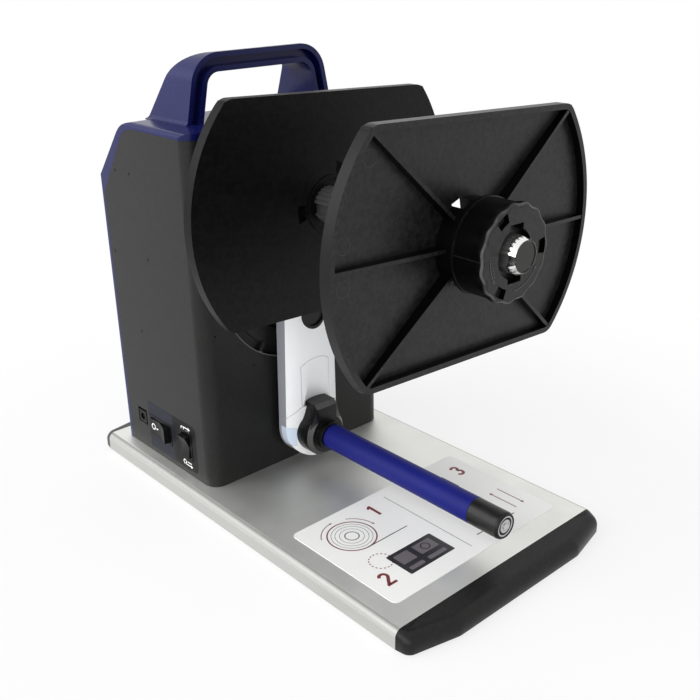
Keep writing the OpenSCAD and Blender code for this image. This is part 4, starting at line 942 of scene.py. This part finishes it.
def cap_shell(name, node, way):
    """A soft end cap: the plate's section at its root, swelling into a rounded nose."""
    half, low, high = PLATE_HIGH.x, PLATE_LOW.z, PLATE_HIGH.z
    in_by, out_by, bend = CAP_SHOULDER
    nose_in, nose_bend = CAP_NOSE
    path = rounded_path([
        (-half, 0), (in_by - half, -out_by, bend), (nose_in - half, -CAP_L, nose_bend),
        (half - nose_in, -CAP_L, nose_bend), (half - in_by, -out_by, bend), (half, 0),
    ])
    filled = [path[0]]
    for a, b in zip(path, path[1:]):
        pieces = max(1, math.ceil((b - a).length / CAP_STEP))
        filled += [a.lerp(b, i / pieces) for i in range(1, pieces + 1)]
    count = len(filled)
    made = bmesh.new()

    def vert(place, z):
        return made.verts.new(Vector((place.x, way * (PLATE_LOW.y + place.y), z)) * MM)

    def top(place):
        return high - CAP_FALL * min(1.0, -place.y / CAP_L)

    # One column of corners at each point of the outline, from the foot up to the crest
    columns = []
    for i, place in enumerate(filled):
        along = filled[min(i + 1, count - 1)] - filled[max(i - 1, 0)]
        inward = Vector((-along.y, along.x)).normalized()
        if i in (0, count - 1):
            inward = Vector((1 if i == 0 else -1, 0))
        swell = min(1.0, -place.y / CAP_SWELL_L)
        radius = PLATE_ROUND + (CAP_ROUND - PLATE_ROUND) * swell * swell * (3 - 2 * swell)
        wall = top(place + inward * radius) - radius
        foot = ((CAP_FOOT, 0), (CAP_FOOT_MID, CAP_FOOT_MID), (0, CAP_FOOT))
        column = [vert(place + inward * in_from, low + up) for in_from, up in foot]
        for k in range(CREST_STEPS + 1):
            a = math.pi / 2 * k / CREST_STEPS
            column.append(vert(place + inward * radius * (1 - math.cos(a)), wall + radius * math.sin(a)))
        columns.append(column)

    # The crest is filled back to a straight spine along the cap's root
    crest_start, crest_end = columns[0][-1], columns[-1][-1]
    spine = [crest_start]
    for i in range(1, count - 1):
        spine.append(made.verts.new(crest_start.co.lerp(crest_end.co, i / (count - 1))))
    spine.append(crest_end)
    for i in range(1, count):
        for k in range(len(columns[0]) - 1):
            made.faces.new([columns[i - 1][k], columns[i][k], columns[i][k + 1], columns[i - 1][k + 1]])
        rim = [columns[i - 1][-1], columns[i][-1], spine[i], spine[i - 1]]
        made.faces.new(list(dict.fromkeys(rim)))
    made.faces.new([column[0] for column in columns])
    made.faces.new(columns[0][:-1] + spine + columns[-1][-2::-1])
    finish_shell(made)
    piece = add_piece(name, made, [CAP_BLACK], "base")
    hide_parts(node)


def lid_corner_walls():
    """The lid's wall behind its two rounded front corners."""
    low, high = in_mm(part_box("front_cover"))
    made = bmesh.new()
    for side, middle in ((low.x + LID_CORNER_R, 225), (high.x - LID_CORNER_R, 315)):
        centre = (side, low.y + LID_CORNER_R)
        start, end = middle - LID_HALF_TURN, middle + LID_HALF_TURN
        outline = arc(centre, LID_CORNER_R - LID_SINK, start, end, LID_STEPS)
        outline += arc(centre, LID_CORNER_R - LID_WALL, end, start, LID_STEPS)
        rows = [[made.verts.new(Vector((x, y, high.z + z)) * MM) for x, y in outline] for z in LID_GAP]
        made.faces.new(rows[0])
        made.faces.new(rows[1])
        for i in range(len(outline)):
            made.faces.new([rows[0][i - 1], rows[0][i], rows[1][i], rows[1][i - 1]])
    finish_shell(made)
    add_piece("lid_corner_walls", made, [NAVY], "base")


def screw_heads():
    """Pan-head screws with a cross recess, in place of the plain cover screws."""
    spots = [v.co / MM for v in nodes["cover_screws"].data.vertices]
    middle = (min(p.z for p in spots) + max(p.z for p in spots)) / 2
    made = bmesh.new()
    for left in (True, False):
        for high in (True, False):
            own = [p for p in spots if (p.x < 0) == left and (p.z > middle) == high]
            low = Vector([min(p[i] for p in own) for i in range(3)])
            top = Vector([max(p[i] for p in own) for i in range(3)])
            screw(made, (low.x + top.x) / 2, (low.z + top.z) / 2, low.y, top.y, (top.x - low.x) / 2)
    bmesh.ops.recalc_face_normals(made, faces=made.faces)
    for face in made.faces:
        face.smooth = False
    piece = add_piece("cover_screw_heads", made, [STEEL], "base")
    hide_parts("cover_screws")


def screw(made, x, z, start, end, radius):
    """One screw along Y, its head at the far end."""
    steps = SCREW_STEPS

    def vert(u, y, v):
        return made.verts.new(Vector((x + u, y, z + v)) * MM)

    def loop(r, y):
        angles = [2 * math.pi * i / steps for i in range(steps)]
        return [vert(r * math.cos(a), y, r * math.sin(a)) for a in angles]

    shank = radius * SCREW_SHANK
    loops = [loop(shank, start + SCREW_TIP_L), loop(shank, end - SCREW_HEAD_L)]
    loops += [loop(radius * share, end - back) for share, back in SCREW_HEAD]
    for a, b in zip(loops, loops[1:]):
        for i in range(steps):
            made.faces.new([a[i - 1], a[i], b[i], b[i - 1]])
    tip = vert(0, start, 0)
    for i in range(steps):
        made.faces.new([loops[0][i], loops[0][i - 1], tip])
    arm, half = radius * CROSS_ARM, radius * CROSS_HALF
    cross = [(half, half), (half, arm), (-half, arm), (-half, half), (-arm, half), (-arm, -half),
             (-half, -half), (-half, -arm), (half, -arm), (half, -half), (arm, -half), (arm, half)]
    mouth = [vert(u, end, v) for u, v in cross]
    floor_at = (x, end - CROSS_DEEP, z)
    sink(made, mouth, [(Vector(floor_at) + Vector((u, 0, v)) * CROSS_NARROW) * MM for u, v in cross])
    rim = [made.edges.get((loops[-1][i - 1], loops[-1][i])) for i in range(steps)]
    lip = [made.edges.get((mouth[i - 1], mouth[i])) for i in range(len(cross))]
    bmesh.ops.triangle_fill(made, edges=rim + lip, use_beauty=True)


def set_camera():
    ahead = Vector((
        math.sin(CAMERA_YAW) * math.cos(CAMERA_PITCH),
        math.cos(CAMERA_YAW) * math.cos(CAMERA_PITCH),
        -math.sin(CAMERA_PITCH),
    ))
    right = Vector((math.cos(CAMERA_YAW), -math.sin(CAMERA_YAW), 0))
    up = right.cross(ahead)
    turned_right = math.cos(CAMERA_ROLL) * right + math.sin(CAMERA_ROLL) * up
    turned_up = math.cos(CAMERA_ROLL) * up - math.sin(CAMERA_ROLL) * right
    lens = bpy.data.cameras.new("photo_camera")
    lens.sensor_fit = "HORIZONTAL"
    lens.sensor_width = SENSOR
    lens.lens = SENSOR * LENS_PX / IMAGE_PX
    lens.clip_start = CLIP_NEAR
    lens.clip_end = CLIP_FAR
    camera = bpy.data.objects.new("photo_camera", lens)
    turn = Matrix((turned_right, turned_up, -ahead)).transposed()
    camera.matrix_world = Matrix.Translation(CAMERA_AT) @ turn.to_4x4()
    bpy.context.scene.collection.objects.link(camera)
    bpy.context.scene.camera = camera


def set_light():
    for name, place, strength, angle in (
        ("soft_key", SUN_FROM, SUN_STRENGTH, SUN_ANGLE),
        ("soft_fill", FILL_FROM, FILL_STRENGTH, FILL_ANGLE),
    ):
        lamp = bpy.data.lights.new(name, "SUN")
        lamp.energy = strength
        lamp.angle = angle
        sun = bpy.data.objects.new(name, lamp)
        sun.rotation_euler = place.to_track_quat("Z", "Y").to_euler()
        bpy.context.scene.collection.objects.link(sun)

    world = bpy.data.worlds.new("studio")
    bpy.context.scene.world = world
    world.use_nodes = True
    f = Finish(world.node_tree)
    way = f.node("ShaderNodeTexCoord", out="Generated")
    toward = f.node(
        "ShaderNodeVectorMath", {"operation": "DOT_PRODUCT"},
        [way, tuple(STUDIO_FROM.normalized())], out="Value",
    )
    dim, bright = f.background(STUDIO_DIM), f.background(STUDIO_BRIGHT)
    light = f.node("ShaderNodeMixShader", None, [toward.ramp(*STUDIO_SPREAD), dim, bright])
    both = f.node("ShaderNodeMixShader", None, [f.seen(), light, f.background(1.0)])
    f.node("ShaderNodeOutputWorld", None, {"Surface": both})


def set_floor():
    """A matt floor that keeps the shadow near the part and runs out to white."""
    mesh = bpy.data.meshes.new("floor")
    half = FLOOR_SIZE / 2
    corners = [(-half, -half, 0), (half, -half, 0), (half, half, 0), (-half, half, 0)]
    mesh.from_pydata(corners, [], [(0, 1, 2, 3)])
    floor = bpy.data.objects.new("floor", mesh)
    bpy.context.scene.collection.objects.link(floor)
    made = bpy.data.materials.new("floor_white")
    made.use_nodes = True
    f = Finish(made.node_tree)
    matt = f.node("ShaderNodeBsdfDiffuse", None, {"Color": (*FLOOR_COLOUR, 1)})
    white = f.node("ShaderNodeEmission", None, {"Color": WHITE, "Strength": 1.0})
    place = f.node("ShaderNodeTexCoord", out="Object")
    away = f.node("ShaderNodeVectorMath", {"operation": "LENGTH"}, [place], out="Value")
    lift = FLOOR_LIFT + (1 - FLOOR_LIFT) * away.ramp(FLOOR_NEAR, FLOOR_FAR)
    both = f.node("ShaderNodeMixShader", None, [f.seen() * lift, matt, white])
    f.node("ShaderNodeOutputMaterial", None, {"Surface": both})
    mesh.materials.append(made)


bpy.context.scene.view_settings.view_transform = "Standard"
set_camera()
set_light()
set_floor()
dress_solids()
print_label()
mark_rocker()
mark_panel()
mark_knob()
screw_heads()
lid_corner_walls()
knob_shell()
cap_shell("front_cap_shell", "front_end_cap", 1)
cap_shell("rear_cap_shell", "rear_end_cap", -1)

bpy.context.view_layer.update()
